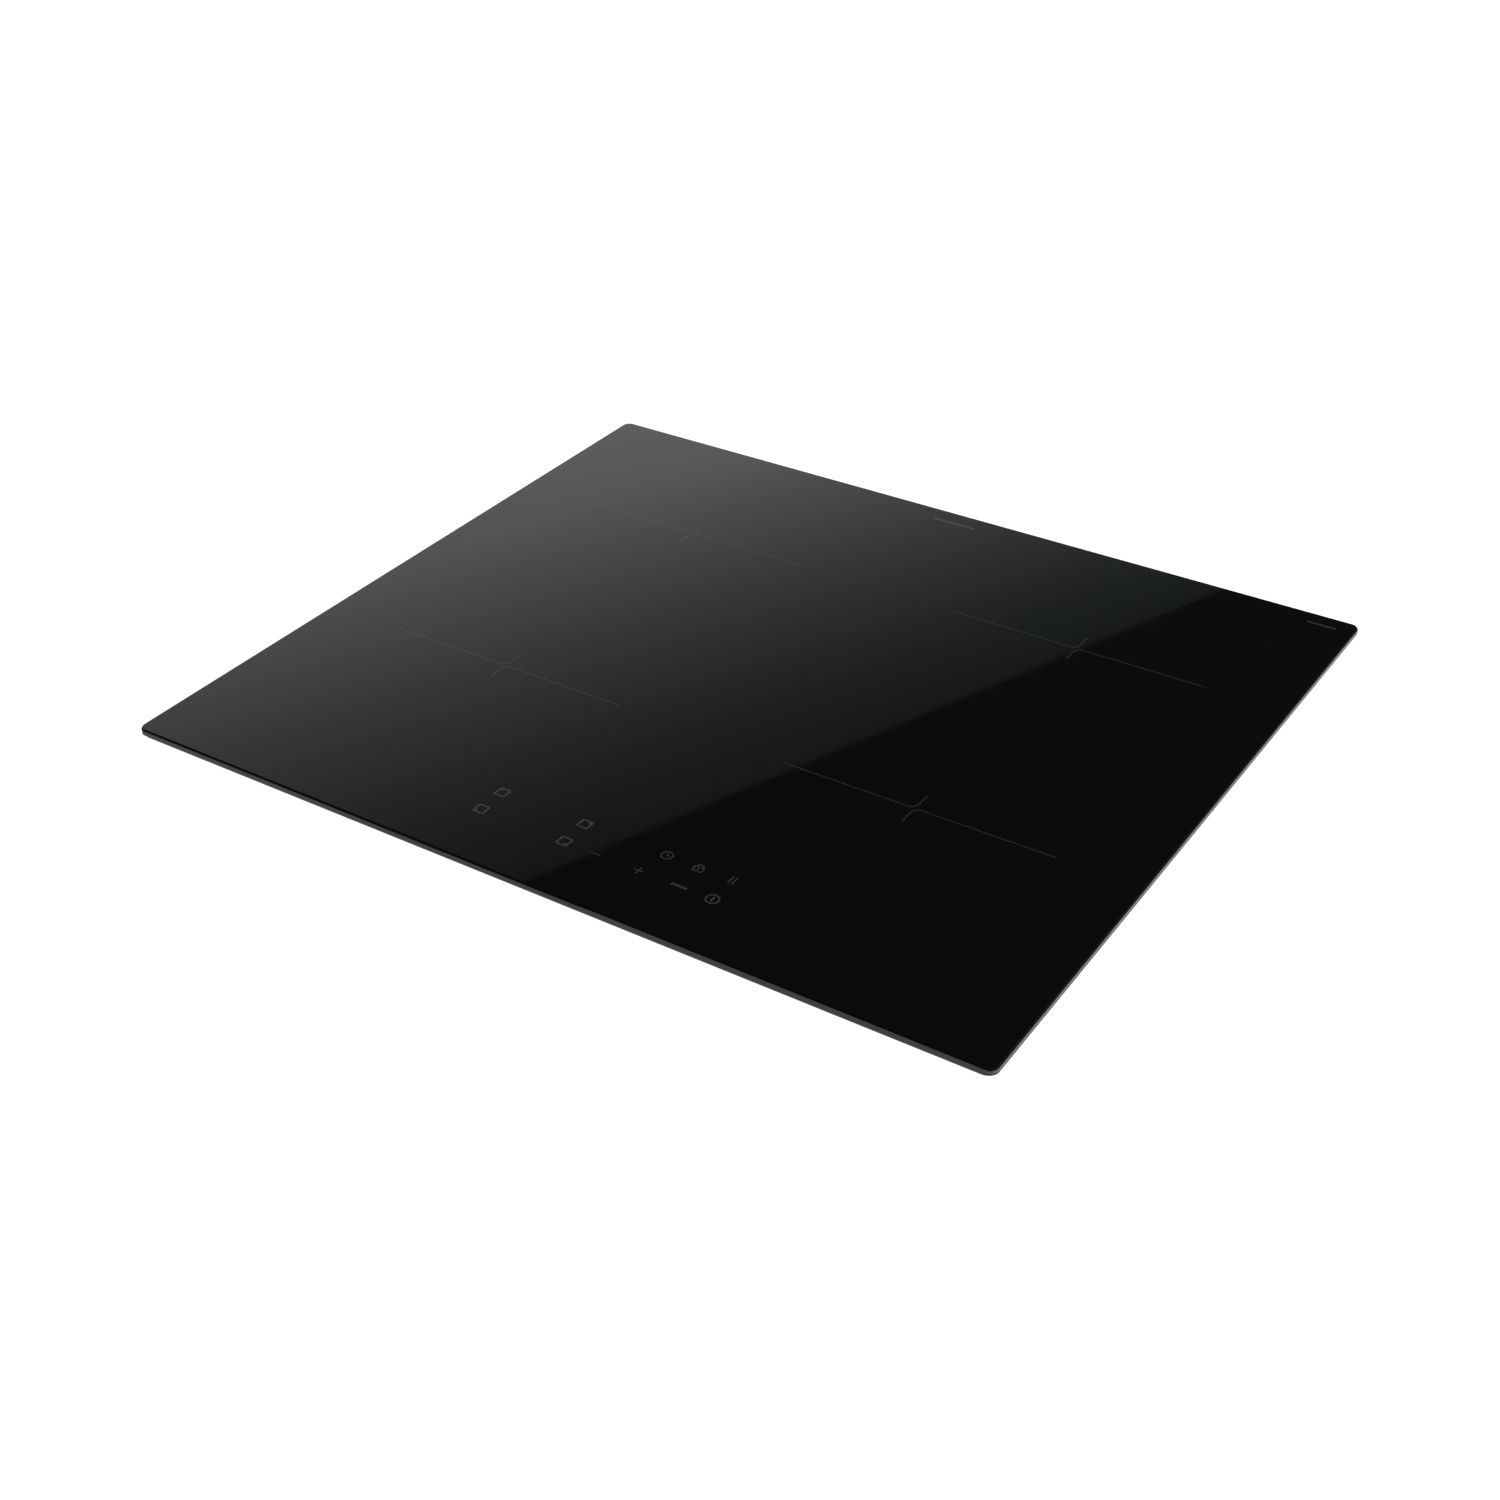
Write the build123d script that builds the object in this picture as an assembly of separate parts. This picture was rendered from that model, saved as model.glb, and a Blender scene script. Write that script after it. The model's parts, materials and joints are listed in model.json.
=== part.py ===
from build123d import *
import math
import os

# Induction cooktop, four zones, built in for a 560 x 490 mm worktop cut-out.
# Origin: centre of the housing's underside. +X to the user's right, -Y to the user, +Z up. Millimetres.

# Glass plate and the levels under it
GLASS_W, GLASS_D, GLASS_T = 590.0, 520.0, 4.0
GLASS_R = 6.0
ARRIS = 0.6
HEIGHT = 58.0
GLASS_Z = HEIGHT - GLASS_T
SEAL_T = 2.0
SEAL_OUT = (584.0, 514.0)
SEAL_IN = (564.0, 494.0)

# Housing tray, folded from sheet
SHEET = 1.0
TRAY_W, TRAY_D = 542.0, 472.0
TRAY_R = 6.0
FLANGE_W, FLANGE_D = 558.0, 488.0
FLANGE_Z = GLASS_Z - SEAL_T
BEAD_W = 4.0
SLOT_W = 3.0
SLOT_H = 20.0
SLOT_PITCH = 8.0
BEAD_Y = (-180.0, -60.0, 20.0, 100.0)
BEAD_DEPTH = 0.4

# Deck that carries the coils
DECK_Z = 33.0
DECK_T = 1.2
TAB = 12.0
TAB_X = (-190.0, 190.0)
TAB_Y = (-150.0, 30.0)

# Zones: name, centre x, centre y, side on which the outer lead leaves the winding
ZONES = (
    ("rear_left", -149.5, 134.3, -1),
    ("rear_right", 149.5, 134.3, -1),
    ("front_left", -149.5, -80.2, 1),
    ("front_right", 149.5, -80.2, 1),
)
COIL_R = 92.0
WIND_IN, WIND_OUT = 20.0, 90.5
WIND_H = 5.0
TURNS = 15
GROOVE = 0.8
MICA_T = 0.8
CARRIER_T = 3.0
FERRITE = (58.0, 12.0, 4.0)
FERRITE_R = 55.0
SPRING_R = 5.0
SPRING_AT = 74.0
SPRING_WIRE = 0.6
TAIL_R = 1.6
TAIL_IN, TAIL_OUT = 22.0, 88.0
MICA_Z = GLASS_Z - MICA_T
WIND_Z = MICA_Z - WIND_H
CARRIER_Z = WIND_Z - CARRIER_T
FERRITE_Z = CARRIER_Z - FERRITE[2]

# Electronics: values for the right-hand side, the left is its mirror image
BOARD_X = (15.0, 255.0)
BOARD_Y = (-170.0, 122.0)
BOARD_Z = 5.0
BOARD_T = 1.6
SINK_X = 110.0
SINK_W = 56.0
SINK_Y = (-60.0, 115.0)
SINK_TOP = 30.0
FINS = 12

# Fans
FAN_X, FAN_Y = 110.0, 175.0
FAN_W = 94.0
FAN_TOP = 24.0
INLET_R = 28.0
WHEEL_R = 38.0
BLADES = 24
SHAFT_R = 1.5
BEARING_R = 1.54

# Touch control
CTRL_X = (-86.0, 120.0)
CTRL_Y = (-230.0, -182.0)
KEYS = (
    (-62.0, -195.7), (-62.0, -215.7), (-2.0, -195.7), (-2.0, -215.7),
    (20.0, -216.0), (49.7, -216.0), (55.0, -195.7), (77.0, -196.0),
    (99.0, -196.0), (76.7, -216.0), (99.0, -216.0),
)
DISPLAYS = ((-32.0, -205.7), (35.0, -205.7))

# Mains inlet, in the rear wall
BOX_X = 62.0
BOX_Y = (186.0, 236.0)
BOX_TOP = 31.0
COVER_X = (-58.0, 30.0)
HINGE_Y, HINGE_Z = 239.0, 4.4
GLAND_X, GLAND_Z = 46.0, 16.0
CABLE_R = 6.5
POLES = (-44.0, -32.0, -20.0, -8.0, 4.0, 16.0)

# Worktop clamps
CLAMP_X, CLAMP_Y = 275.0, 190.0
CLAMP_LEN = 36.0
ROD_R = 2.0
ARM_Z = (8.0, 11.0)


def slab(x, y, z):
    """Box between low and high corners."""
    size = (x[1] - x[0], y[1] - y[0], z[1] - z[0])
    mid = ((x[0] + x[1]) / 2, (y[0] + y[1]) / 2, (z[0] + z[1]) / 2)
    return Pos(*mid) * Box(*size)


def rod(x, y, z0, z1, r):
    """Upright cylinder."""
    return Pos(x, y, (z0 + z1) / 2) * Cylinder(r, z1 - z0)


def rod_y(x, z, y0, y1, r):
    """Cylinder along Y."""
    return Pos(x, (y0 + y1) / 2, z) * Rot(90, 0, 0) * Cylinder(r, y1 - y0)


def rod_x(y, z, x0, x1, r):
    """Cylinder along X."""
    return Pos((x0 + x1) / 2, y, z) * Rot(0, 90, 0) * Cylinder(r, x1 - x0)


def plate(w, d, r, z0, z1):
    """Rounded rectangular plate centred on the origin."""
    return Pos(0, 0, z0) * extrude(RectangleRounded(w, d, r), z1 - z0)


def mirrored(shape, side):
    """Right-hand shape, or its mirror image for the left."""
    if side > 0:
        return shape
    return mirror(shape, about=Plane.YZ)


def group(shapes):
    """Several loose solids as one node."""
    solids = []
    for s in shapes:
        solids.extend(s.solids())
    return Compound(children=solids)


def coil_spring(r, wire, z0, z1, turns):
    """Helical wire spring standing on z0 and reaching z1."""
    height = z1 - z0 - 2 * wire
    path = Helix(pitch=height / turns, height=height, radius=r)
    profile = Plane(origin=path @ 0, z_dir=path % 0) * Circle(wire)
    return Pos(0, 0, z0 + wire) * sweep(profile, path=path, is_frenet=True)


def wire_run(points, r):
    """Round lead through the given points."""
    run = None
    for a, b in zip(points, points[1:]):
        length = math.dist(a, b)
        axis = Plane(origin=a, z_dir=(b[0] - a[0], b[1] - a[1], b[2] - a[2]))
        piece = axis * Cylinder(r, length, align=(Align.CENTER, Align.CENTER, Align.MIN))
        run = piece if run is None else run + piece
    for p in points[1:-1]:
        run = run + Pos(*p) * Sphere(r)
    return run


def glass_plate():
    body = plate(GLASS_W, GLASS_D, GLASS_R, GLASS_Z, HEIGHT)
    top = body.edges().group_by(Axis.Z)[-1]
    return chamfer(top, ARRIS)


def glass_bond():
    outer = plate(FLANGE_W - 4, FLANGE_D - 4, TRAY_R, GLASS_Z - SHEET, GLASS_Z)
    inner = plate(FLANGE_W - 4 - 2 * BEAD_W, FLANGE_D - 4 - 2 * BEAD_W, TRAY_R - 3, GLASS_Z - 2, GLASS_Z + 1)
    return outer - inner


def worktop_seal():
    outer = plate(SEAL_OUT[0], SEAL_OUT[1], 5, FLANGE_Z, GLASS_Z)
    inner = plate(SEAL_IN[0], SEAL_IN[1], 3, FLANGE_Z - 1, GLASS_Z + 1)
    return outer - inner


def slot_row(x0, x1, y):
    """Upright air slots through a wall that lies along X."""
    count = int((x1 - x0) / SLOT_PITCH) + 1
    cuts = []
    for i in range(count):
        x = x0 + i * SLOT_PITCH
        cuts.append(Pos(x, y, 18) * Box(SLOT_W, 6, SLOT_H))
    return cuts


def inlet_slots(x, y):
    """Air slots in the floor under a fan."""
    cuts = []
    for i in range(-4, 5):
        dx = i * 6.0
        half = math.sqrt((INLET_R - 1) ** 2 - dx ** 2)
        cuts.append(Pos(x + dx, y, 0) * Box(SLOT_W, 2 * half, 4))
    return cuts


def deck_tabs():
    """Place of each tab that carries the deck, with the direction into its wall."""
    half_w = TRAY_W / 2 - SHEET
    half_d = TRAY_D / 2 - SHEET
    places = []
    for x in TAB_X:
        places.append((x, half_d - TAB / 2))
        places.append((x, -half_d + TAB / 2))
    for y in TAB_Y:
        places.append((half_w - TAB / 2, y))
        places.append((-half_w + TAB / 2, y))
    return places


def clamp_places():
    """Clamp axis, side of the hob, and end of the hob."""
    return [(sx * CLAMP_X, sy * CLAMP_Y, sx, sy) for sx in (-1, 1) for sy in (-1, 1)]


def housing_tray():
    shell = plate(TRAY_W, TRAY_D, TRAY_R, 0, GLASS_Z - SHEET)
    shell -= plate(TRAY_W - 2 * SHEET, TRAY_D - 2 * SHEET, TRAY_R - SHEET, SHEET, HEIGHT)
    flange = plate(FLANGE_W, FLANGE_D, TRAY_R, FLANGE_Z, FLANGE_Z + SHEET)
    flange -= plate(TRAY_W - 2, TRAY_D - 2, TRAY_R - SHEET, FLANGE_Z - 1, HEIGHT)
    shell += flange
    for x, y in deck_tabs():
        shell += slab((x - TAB / 2, x + TAB / 2), (y - TAB / 2, y + TAB / 2), (DECK_Z - SHEET, DECK_Z))
    for x, y, sx, sy in clamp_places():
        wall = sx * (TRAY_W / 2 - SHEET / 2)
        edge = sx * (FLANGE_W / 2)
        shell += slab(sorted((wall, edge)), (y - 5, y + 5), (40, 42))
    cuts = slot_row(80, 248, TRAY_D / 2)
    cuts += slot_row(-248, -80, TRAY_D / 2)
    cuts += slot_row(-248, 248, -TRAY_D / 2)
    cuts += inlet_slots(FAN_X, FAN_Y)
    cuts += inlet_slots(-FAN_X, FAN_Y)
    for y in BEAD_Y:
        cuts.append(Pos(0, y, -1) * extrude(SlotCenterToCenter(440, 10), 1 + BEAD_DEPTH))
    cuts.append(slab((-BOX_X - 0.2, BOX_X + 0.2), (TRAY_D / 2 - 3, TRAY_D / 2 + 3), (SHEET, BOX_TOP + 0.2)))
    for x, y in deck_tabs():
        cuts.append(rod(x, y, DECK_Z - 3, DECK_Z + 1, 2.05))
    for x, y, sx, sy in clamp_places():
        cuts.append(rod(x, y, 39, 43, ROD_R + 0.1))
    return shell - cuts


def coil_deck():
    body = plate(TRAY_W - 5, TRAY_D - 5, TRAY_R - 2, DECK_Z, DECK_Z + DECK_T)
    cuts = []
    for name, cx, cy, out in ZONES:
        cuts.append(rod(cx, cy - TAIL_IN, DECK_Z - 1, DECK_Z + 3, 4))
        cuts.append(rod(cx, cy + out * TAIL_OUT, DECK_Z - 1, DECK_Z + 3, 4))
        for k in range(6):
            a = math.radians(60 * k)
            cuts.append(rod(cx + 50 * math.cos(a), cy + 50 * math.sin(a), DECK_Z - 1, DECK_Z + 3, 9))
    cuts.append(slab((90, 116), (-176, -171), (DECK_Z - 1, DECK_Z + 3)))
    for x, y in deck_tabs():
        cuts.append(rod(x, y, DECK_Z - 1, DECK_Z + 3, 2.2))
    return body - cuts


def deck_screws():
    screws = []
    top = DECK_Z + DECK_T
    for x, y in deck_tabs():
        head = rod(x, y, top, top + 2.2, 4)
        head -= slab((x - 3, x + 3), (y - 0.5, y + 0.5), (top + 1.2, top + 3))
        screws.append(head + rod(x, y, DECK_Z - 4, top, 2.0))
    return group(screws)


def coil_carrier(out):
    body = Pos(0, 0, CARRIER_Z) * Cylinder(COIL_R, CARRIER_T, align=(Align.CENTER, Align.CENTER, Align.MIN))
    cuts = [rod(0, 0, CARRIER_Z - 1, WIND_Z + 1, 4.1)]
    cuts.append(rod(0, -TAIL_IN, CARRIER_Z - 1, WIND_Z + 1, TAIL_R + 0.3))
    cuts.append(rod(0, out * TAIL_OUT, CARRIER_Z - 1, WIND_Z + 1, TAIL_R + 0.3))
    for k in range(6):
        a = math.radians(60 * k)
        cuts.append(rod(50 * math.cos(a), 50 * math.sin(a), CARRIER_Z - 1, WIND_Z + 1, 10))
    body -= cuts
    length, width, height = FERRITE
    for k in range(6):
        for side in (-1, 1):
            rib = Pos(FERRITE_R, side * (width / 2 + 0.75), CARRIER_Z - 1.5) * Box(length - 8, 1.5, 3)
            body += Rot(0, 0, 30 + 60 * k) * rib
    for k in range(3):
        body += Rot(0, 0, 120 * k) * rod(SPRING_AT, 0, CARRIER_Z - 3, CARRIER_Z, 3.9)
    return body


def litz_winding(out):
    pitch = (WIND_OUT - WIND_IN) / TURNS
    with BuildSketch(Plane.XZ) as section:
        with Locations(((WIND_IN + WIND_OUT) / 2, (WIND_Z + MICA_Z) / 2)):
            Rectangle(WIND_OUT - WIND_IN, WIND_H)
        grooves = []
        for i in range(1, TURNS):
            x = WIND_IN + i * pitch
            grooves.append((x, WIND_Z))
            grooves.append((x, MICA_Z))
        with Locations(*grooves):
            Rectangle(GROOVE, 2 * GROOVE, mode=Mode.SUBTRACT)
    body = revolve(section.sketch, axis=Axis.Z)
    tails = rod(0, -TAIL_IN, 26, WIND_Z + 2, TAIL_R)
    tails += rod(0, out * TAIL_OUT, 26, WIND_Z + 2, TAIL_R)
    return body + tails


def ferrite_bars():
    length, width, height = FERRITE
    bars = []
    for k in range(6):
        bar = Pos(FERRITE_R, 0, FERRITE_Z + height / 2) * Box(length, width, height)
        bar = chamfer(bar.edges().filter_by(Axis.Z), 1.0)
        bars.append(Rot(0, 0, 30 + 60 * k) * bar)
    return group(bars)


def mica_disc():
    body = Pos(0, 0, MICA_Z) * Cylinder(COIL_R - 1, MICA_T, align=(Align.CENTER, Align.CENTER, Align.MIN))
    return body - rod(0, 0, MICA_Z - 1, GLASS_Z + 1, 12)


def temp_sensor():
    body = rod(0, 0, GLASS_Z - 1.6, GLASS_Z, 7)
    body += rod(0, 0, CARRIER_Z - 2, GLASS_Z - 1.6, 4)
    body += rod(0, 0, CARRIER_Z - 2, CARRIER_Z, 6)
    return body


def coil_springs():
    one = coil_spring(SPRING_R, SPRING_WIRE, DECK_Z + DECK_T, CARRIER_Z, 3)
    return group([Rot(0, 0, 120 * k) * Pos(SPRING_AT, 0, 0) * one for k in range(3)])


def board_posts():
    """Stand-off places of the right-hand board."""
    xs = (BOARD_X[0] + 7, BOARD_X[1] - 7)
    ys = (BOARD_Y[0] + 7, (BOARD_Y[0] + BOARD_Y[1]) / 2, BOARD_Y[1] - 5)
    return [(x, y) for x in xs for y in ys]


def board_trays():
    base = slab((BOARD_X[0] - 3, BOARD_X[1] + 3), (BOARD_Y[0] - 3, BOARD_Y[1] + 2), (SHEET, SHEET + 1.5))
    for x, y in board_posts():
        base += rod(x, y, SHEET, BOARD_Z, 3.5)
        base += rod(x, y, BOARD_Z, BOARD_Z + BOARD_T + 1.2, 1.4)
    return group([base, mirrored(base, -1)])


def power_board(side):
    body = slab(BOARD_X, BOARD_Y, (BOARD_Z, BOARD_Z + BOARD_T))
    cuts = [rod(x, y, BOARD_Z - 1, BOARD_Z + BOARD_T + 1, 1.5) for x, y in board_posts()]
    return mirrored(body - cuts, side)


def heat_sink(side):
    z0 = BOARD_Z + BOARD_T
    x0 = SINK_X - SINK_W / 2
    body = slab((x0, x0 + SINK_W), SINK_Y, (z0, z0 + 3))
    step = (SINK_W - 2.4) / (FINS - 1)
    for i in range(FINS):
        x = x0 + 1.2 + i * step
        thick = 1.2 if i in (0, FINS - 1) else 0.6
        body += slab((x - thick, x + thick), SINK_Y, (z0, SINK_TOP))
    return mirrored(body, side)


def coil_sockets():
    """Socket posts that take the leads of the windings, right-hand board."""
    z0 = BOARD_Z + BOARD_T
    posts = []
    for name, cx, cy, out in ZONES:
        if cx > 0:
            for y in (cy - TAIL_IN, cy + out * TAIL_OUT):
                posts.append(rod(cx, y, z0, 30, 4) - rod(cx, y, 18, 31, TAIL_R + 0.1))
    return posts


def board_parts(side):
    z0 = BOARD_Z + BOARD_T
    parts = coil_sockets()
    for y in (60, 36, -60, -84):
        parts.append(slab((46, 74), (y - 7, y + 7), (z0, 27)))
    for x, y in ((190, 84), (190, 60), (214, 84), (214, 60)):
        parts.append(rod(x, y, z0, 28, 10) - rod(x, y, 27.4, 29, 8))
    for y in (-20, -44, -68, -92):
        parts.append(slab((176, 206), (y - 6, y + 6), (z0, 25)))
    choke = Pos(60, -12, z0 + 6) * Torus(11, 6)
    parts.append(choke)
    for x in (40, 70, 100, 215):
        parts.append(slab((x - 11, x + 11), (-158, -148), (z0, 16)))
    for y in (20, 0):
        parts.append(slab((222, 240), (y - 8, y + 8), (z0, 22)))
    return mirrored(group(parts), side)


def transistors():
    z0 = BOARD_Z + BOARD_T
    right = SINK_X + SINK_W / 2
    left = SINK_X - SINK_W / 2
    parts = []
    for y in (80, 27, -20, -50):
        can = slab((right, right + 5), (y - 8, y + 8), (z0 + 3, z0 + 23))
        for dy in (-5.4, 0, 5.4):
            can += slab((right + 2, right + 3), (y + dy - 0.6, y + dy + 0.6), (z0, z0 + 4))
        parts.append(can)
    parts.append(slab((left - 5, left), (-40, -15), (z0, z0 + 20)))
    return group([mirrored(p, side) for side in (1, -1) for p in parts])


def fan_frame(side):
    half = FAN_W / 2
    x = (FAN_X - half, FAN_X + half)
    y = (FAN_Y - half, FAN_Y + half)
    body = slab(x, y, (SHEET, FAN_TOP))
    body -= rod(FAN_X, FAN_Y, SHEET + 1.5, FAN_TOP - 1.5, WHEEL_R + 4)
    body -= slab((FAN_X - 26, FAN_X + 26), (FAN_Y - half - 1, FAN_Y), (SHEET + 1.5, FAN_TOP - 1.5))
    body -= rod(FAN_X, FAN_Y, 0, SHEET + 3, INLET_R)
    body += rod(FAN_X, FAN_Y, 10, FAN_TOP, 13)
    body += rod(FAN_X, FAN_Y, 8.5, FAN_TOP, 4)
    body -= rod(FAN_X, FAN_Y, 8, FAN_TOP - 2.5, BEARING_R)
    return mirrored(body, side)


def fan_rotor(side):
    top = FAN_TOP - 3
    body = rod(0, 0, 5, top, 18) - rod(0, 0, 6.5, top + 1, 15)
    body += rod(0, 0, 6, top - 1, SHAFT_R)
    body += rod(0, 0, top - 1.5, top, WHEEL_R) - rod(0, 0, top - 3, top + 1, 17)
    body += rod(0, 0, 4, 5.2, WHEEL_R) - rod(0, 0, 3, 6, 30)
    blades = []
    for k in range(BLADES):
        blade = Pos(34, 0, (4 + top) / 2) * Rot(0, 0, 32) * Box(9, 1.0, top - 4)
        blades.append(Rot(0, 0, 360 * k / BLADES) * blade)
    body = body + blades
    return mirrored(Pos(FAN_X, FAN_Y, 0) * body, side)


def control_holder():
    z0 = DECK_Z + DECK_T
    body = slab(CTRL_X, CTRL_Y, (z0, 50))
    body -= slab((CTRL_X[0] + 2, CTRL_X[1] - 2), (CTRL_Y[0] + 2, CTRL_Y[1] - 2), (z0 + 2, 51))
    for x in (-76, 17, 110):
        for y in (CTRL_Y[0] + 5, CTRL_Y[1] - 5):
            body += rod(x, y, z0 + 1, 46, 3)
    return body


def control_board():
    body = slab((CTRL_X[0] + 2.5, CTRL_X[1] - 2.5), (CTRL_Y[0] + 2.5, CTRL_Y[1] - 2.5), (46, 47.6))
    for x in (-76, 17, 110):
        for y in (CTRL_Y[0] + 5, CTRL_Y[1] - 5):
            body -= rod(x, y, 45, 49, 1.2)
    return body


def led_displays():
    blocks = []
    for x, y in DISPLAYS:
        block = slab((x - 11, x + 11), (y - 8, y + 8), (47.6, 53.4))
        block -= [Pos(x + dx, y, 53.4) * Box(7, 12, 0.8) for dx in (-5, 5)]
        blocks.append(block)
    return group(blocks)


def touch_posts():
    one = rod(0, 0, 47.6, GLASS_Z, 3.4) - rod(0, 0, 46, GLASS_Z + 1, 1.4)
    return group([Pos(x, y, 0) * one for x, y in KEYS])


def terminal_box():
    wall = 2.0
    body = slab((-BOX_X, BOX_X), BOX_Y, (SHEET, BOX_TOP))
    body -= slab((-BOX_X + 4, BOX_X - 4), (BOX_Y[0] + wall, BOX_Y[1] - 3), (SHEET + wall, BOX_TOP - wall))
    body -= slab(COVER_X, (BOX_Y[0] + wall, BOX_Y[1] + 1), (7.2, BOX_TOP - wall))
    body -= rod_y(GLAND_X, GLAND_Z, BOX_Y[1] - 5, BOX_Y[1] + 1, 9.6)
    for x in (-44, -32, 4, 16):
        body -= rod_y(x, 12, BOX_Y[0] - 1, BOX_Y[0] + wall + 1, 2)
    for x0, x1, inner in ((COVER_X[0] - 3.3, COVER_X[0] - 0.3, 1), (COVER_X[1] + 0.3, COVER_X[1] + 2.3, -1)):
        body += slab((x0, x1), (BOX_Y[1] - 1, HINGE_Y + 2.4), (HINGE_Z - 2.4, HINGE_Z + 2.4))
        start = x1 if inner > 0 else x0
        ends = sorted((start - inner, start + inner * 3.5))
        body += rod_x(HINGE_Y, HINGE_Z, ends[0], ends[1], 1.0)
    return body


def terminal_cover():
    body = rod_x(HINGE_Y, HINGE_Z, COVER_X[0], COVER_X[1], 2.4)
    body += slab(COVER_X, (HINGE_Y - 1.6, HINGE_Y + 0.8), (HINGE_Z, BOX_TOP))
    body += slab((-18, -10), (HINGE_Y - 6, HINGE_Y - 1), (26, 27.5))
    for i in range(5):
        x = -48 + i * 17
        body += slab((x, x + 8), (HINGE_Y + 0.8, HINGE_Y + 1.6), (12, 25))
    for a, b in ((COVER_X[0] - 1, COVER_X[0] + 4), (COVER_X[1] - 4, COVER_X[1] + 1)):
        body -= rod_x(HINGE_Y, HINGE_Z, a, b, 1.05)
    return body


def terminal_block():
    body = slab((-52, 24), (196, 216), (SHEET + 2, 21))
    for x in POLES:
        body -= rod(x, 206, 12, 22, 1.6)
        body -= slab((x - 4, x + 4), (209.5, 217), (8, 16))
        body -= rod_y(x, 12, 195, 201, 1.7)
    for x in (-50, -38, -26, -14, -2, 10, 22):
        body += slab((x - 0.8, x + 0.8), (198, 214), (20, 25))
    return body


def terminal_screws():
    screws = []
    for x in POLES:
        head = rod(x, 206, 21, 23, 3.2) - slab((x - 4, x + 4), (205.5, 206.5), (22, 24))
        screws.append(head + rod(x, 206, 13, 21, 1.5))
    return group(screws)


def cable_gland():
    back = BOX_Y[1]
    body = rod_y(GLAND_X, GLAND_Z, back - 7, back + 5, 9.5)
    body += rod_y(GLAND_X, GLAND_Z, back, back + 5, 11.8)
    body += rod_y(GLAND_X, GLAND_Z, back - 7, back - 3, 11.0)
    return body - rod_y(GLAND_X, GLAND_Z, back - 8, back + 6, CABLE_R)


def cable_clamp():
    body = slab((GLAND_X - 11, GLAND_X + 11), (206, 216), (SHEET + 2, 24))
    body -= rod_y(GLAND_X, GLAND_Z, 205, 217, CABLE_R)
    body -= slab((GLAND_X - 12, GLAND_X + 12), (205, 217), (GLAND_Z - 0.6, GLAND_Z + 0.6))
    for dx in (-9, 9):
        body -= rod(GLAND_X + dx, 211, 8, 25, 1.4)
        body += rod(GLAND_X + dx, 211, 6, 26, 1.4) + rod(GLAND_X + dx, 211, 24, 26, 2.0)
    return body


def supply_leads():
    z = 12.0
    down = BOARD_Z + BOARD_T
    runs = []
    for x, end in ((-44, -40), (-32, -28), (4, 28), (16, 40)):
        points = ((x, 200.5, z), (x, 176, z), (end, 150, z), (end, 114, z), (end, 114, down))
        runs.append(wire_run(points, 1.6))
    return group(runs)


def clamp_rods():
    rods = []
    for x, y, sx, sy in clamp_places():
        body = rod(x, y, 5, 47, ROD_R)
        body += rod(x, y, 3.6, 7.6, 3.6)
        body += rod(x, y, 11.4, 13.4, 3.2)
        for z in (37, 42):
            body += Pos(x, y, z) * extrude(RegularPolygon(3.4, 6), 3)
        rods.append(body)
    return group(rods)


def worktop_clamp(sx, sy):
    """Swinging arm, stowed along the wall and pointing to the middle of the hob."""
    body = extrude(SlotCenterToCenter(CLAMP_LEN - 6, 6), ARM_Z[1] - ARM_Z[0])
    body = Pos((CLAMP_LEN - 6) / 2, 0, ARM_Z[0]) * body
    body += slab((CLAMP_LEN - 8, CLAMP_LEN - 5), (-3, 3), (ARM_Z[0], 15))
    body -= rod(0, 0, ARM_Z[0] - 1, ARM_Z[1] + 1, ROD_R + 0.05)
    return Pos(sx * CLAMP_X, sy * CLAMP_Y, 0) * Rot(0, 0, -90 * sy) * body


def main():
    nodes = {
        "glass_plate": glass_plate(),
        "glass_bond": glass_bond(),
        "worktop_seal": worktop_seal(),
        "housing_tray": housing_tray(),
        "coil_deck": coil_deck(),
        "deck_screws": deck_screws(),
        "board_trays": board_trays(),
        "transistors": transistors(),
        "control_holder": control_holder(),
        "control_board": control_board(),
        "led_displays": led_displays(),
        "touch_posts": touch_posts(),
        "terminal_box": terminal_box(),
        "terminal_cover": terminal_cover(),
        "terminal_block": terminal_block(),
        "terminal_screws": terminal_screws(),
        "cable_gland": cable_gland(),
        "cable_clamp": cable_clamp(),
        "supply_leads": supply_leads(),
        "clamp_rods": clamp_rods(),
    }
    for side, word in ((-1, "left"), (1, "right")):
        nodes["power_board_" + word] = power_board(side)
        nodes["heat_sink_" + word] = heat_sink(side)
        nodes["board_parts_" + word] = board_parts(side)
        nodes["fan_frame_" + word] = fan_frame(side)
        nodes["fan_rotor_" + word] = fan_rotor(side)
    mica = mica_disc()
    sensor = temp_sensor()
    springs = coil_springs()
    ferrites = ferrite_bars()
    for name, cx, cy, out in ZONES:
        at = Pos(cx, cy, 0)
        nodes["coil_carrier_" + name] = at * coil_carrier(out)
        nodes["litz_winding_" + name] = at * litz_winding(out)
        nodes["ferrite_bars_" + name] = at * ferrites
        nodes["mica_disc_" + name] = at * mica
        nodes["temp_sensor_" + name] = at * sensor
        nodes["coil_springs_" + name] = at * springs
    for sx, side in ((-1, "left"), (1, "right")):
        for sy, end in ((-1, "front"), (1, "rear")):
            nodes["worktop_clamp_" + end + "_" + side] = worktop_clamp(sx, sy)
    os.makedirs("parts", exist_ok=True)
    for name, shape in nodes.items():
        export_step(shape, "parts/" + name + ".step")


main()
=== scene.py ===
import json
import math

import bmesh
import bpy
from bpy.props import FloatProperty, FloatVectorProperty, IntProperty, PointerProperty
from mathutils import Matrix, Vector


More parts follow.
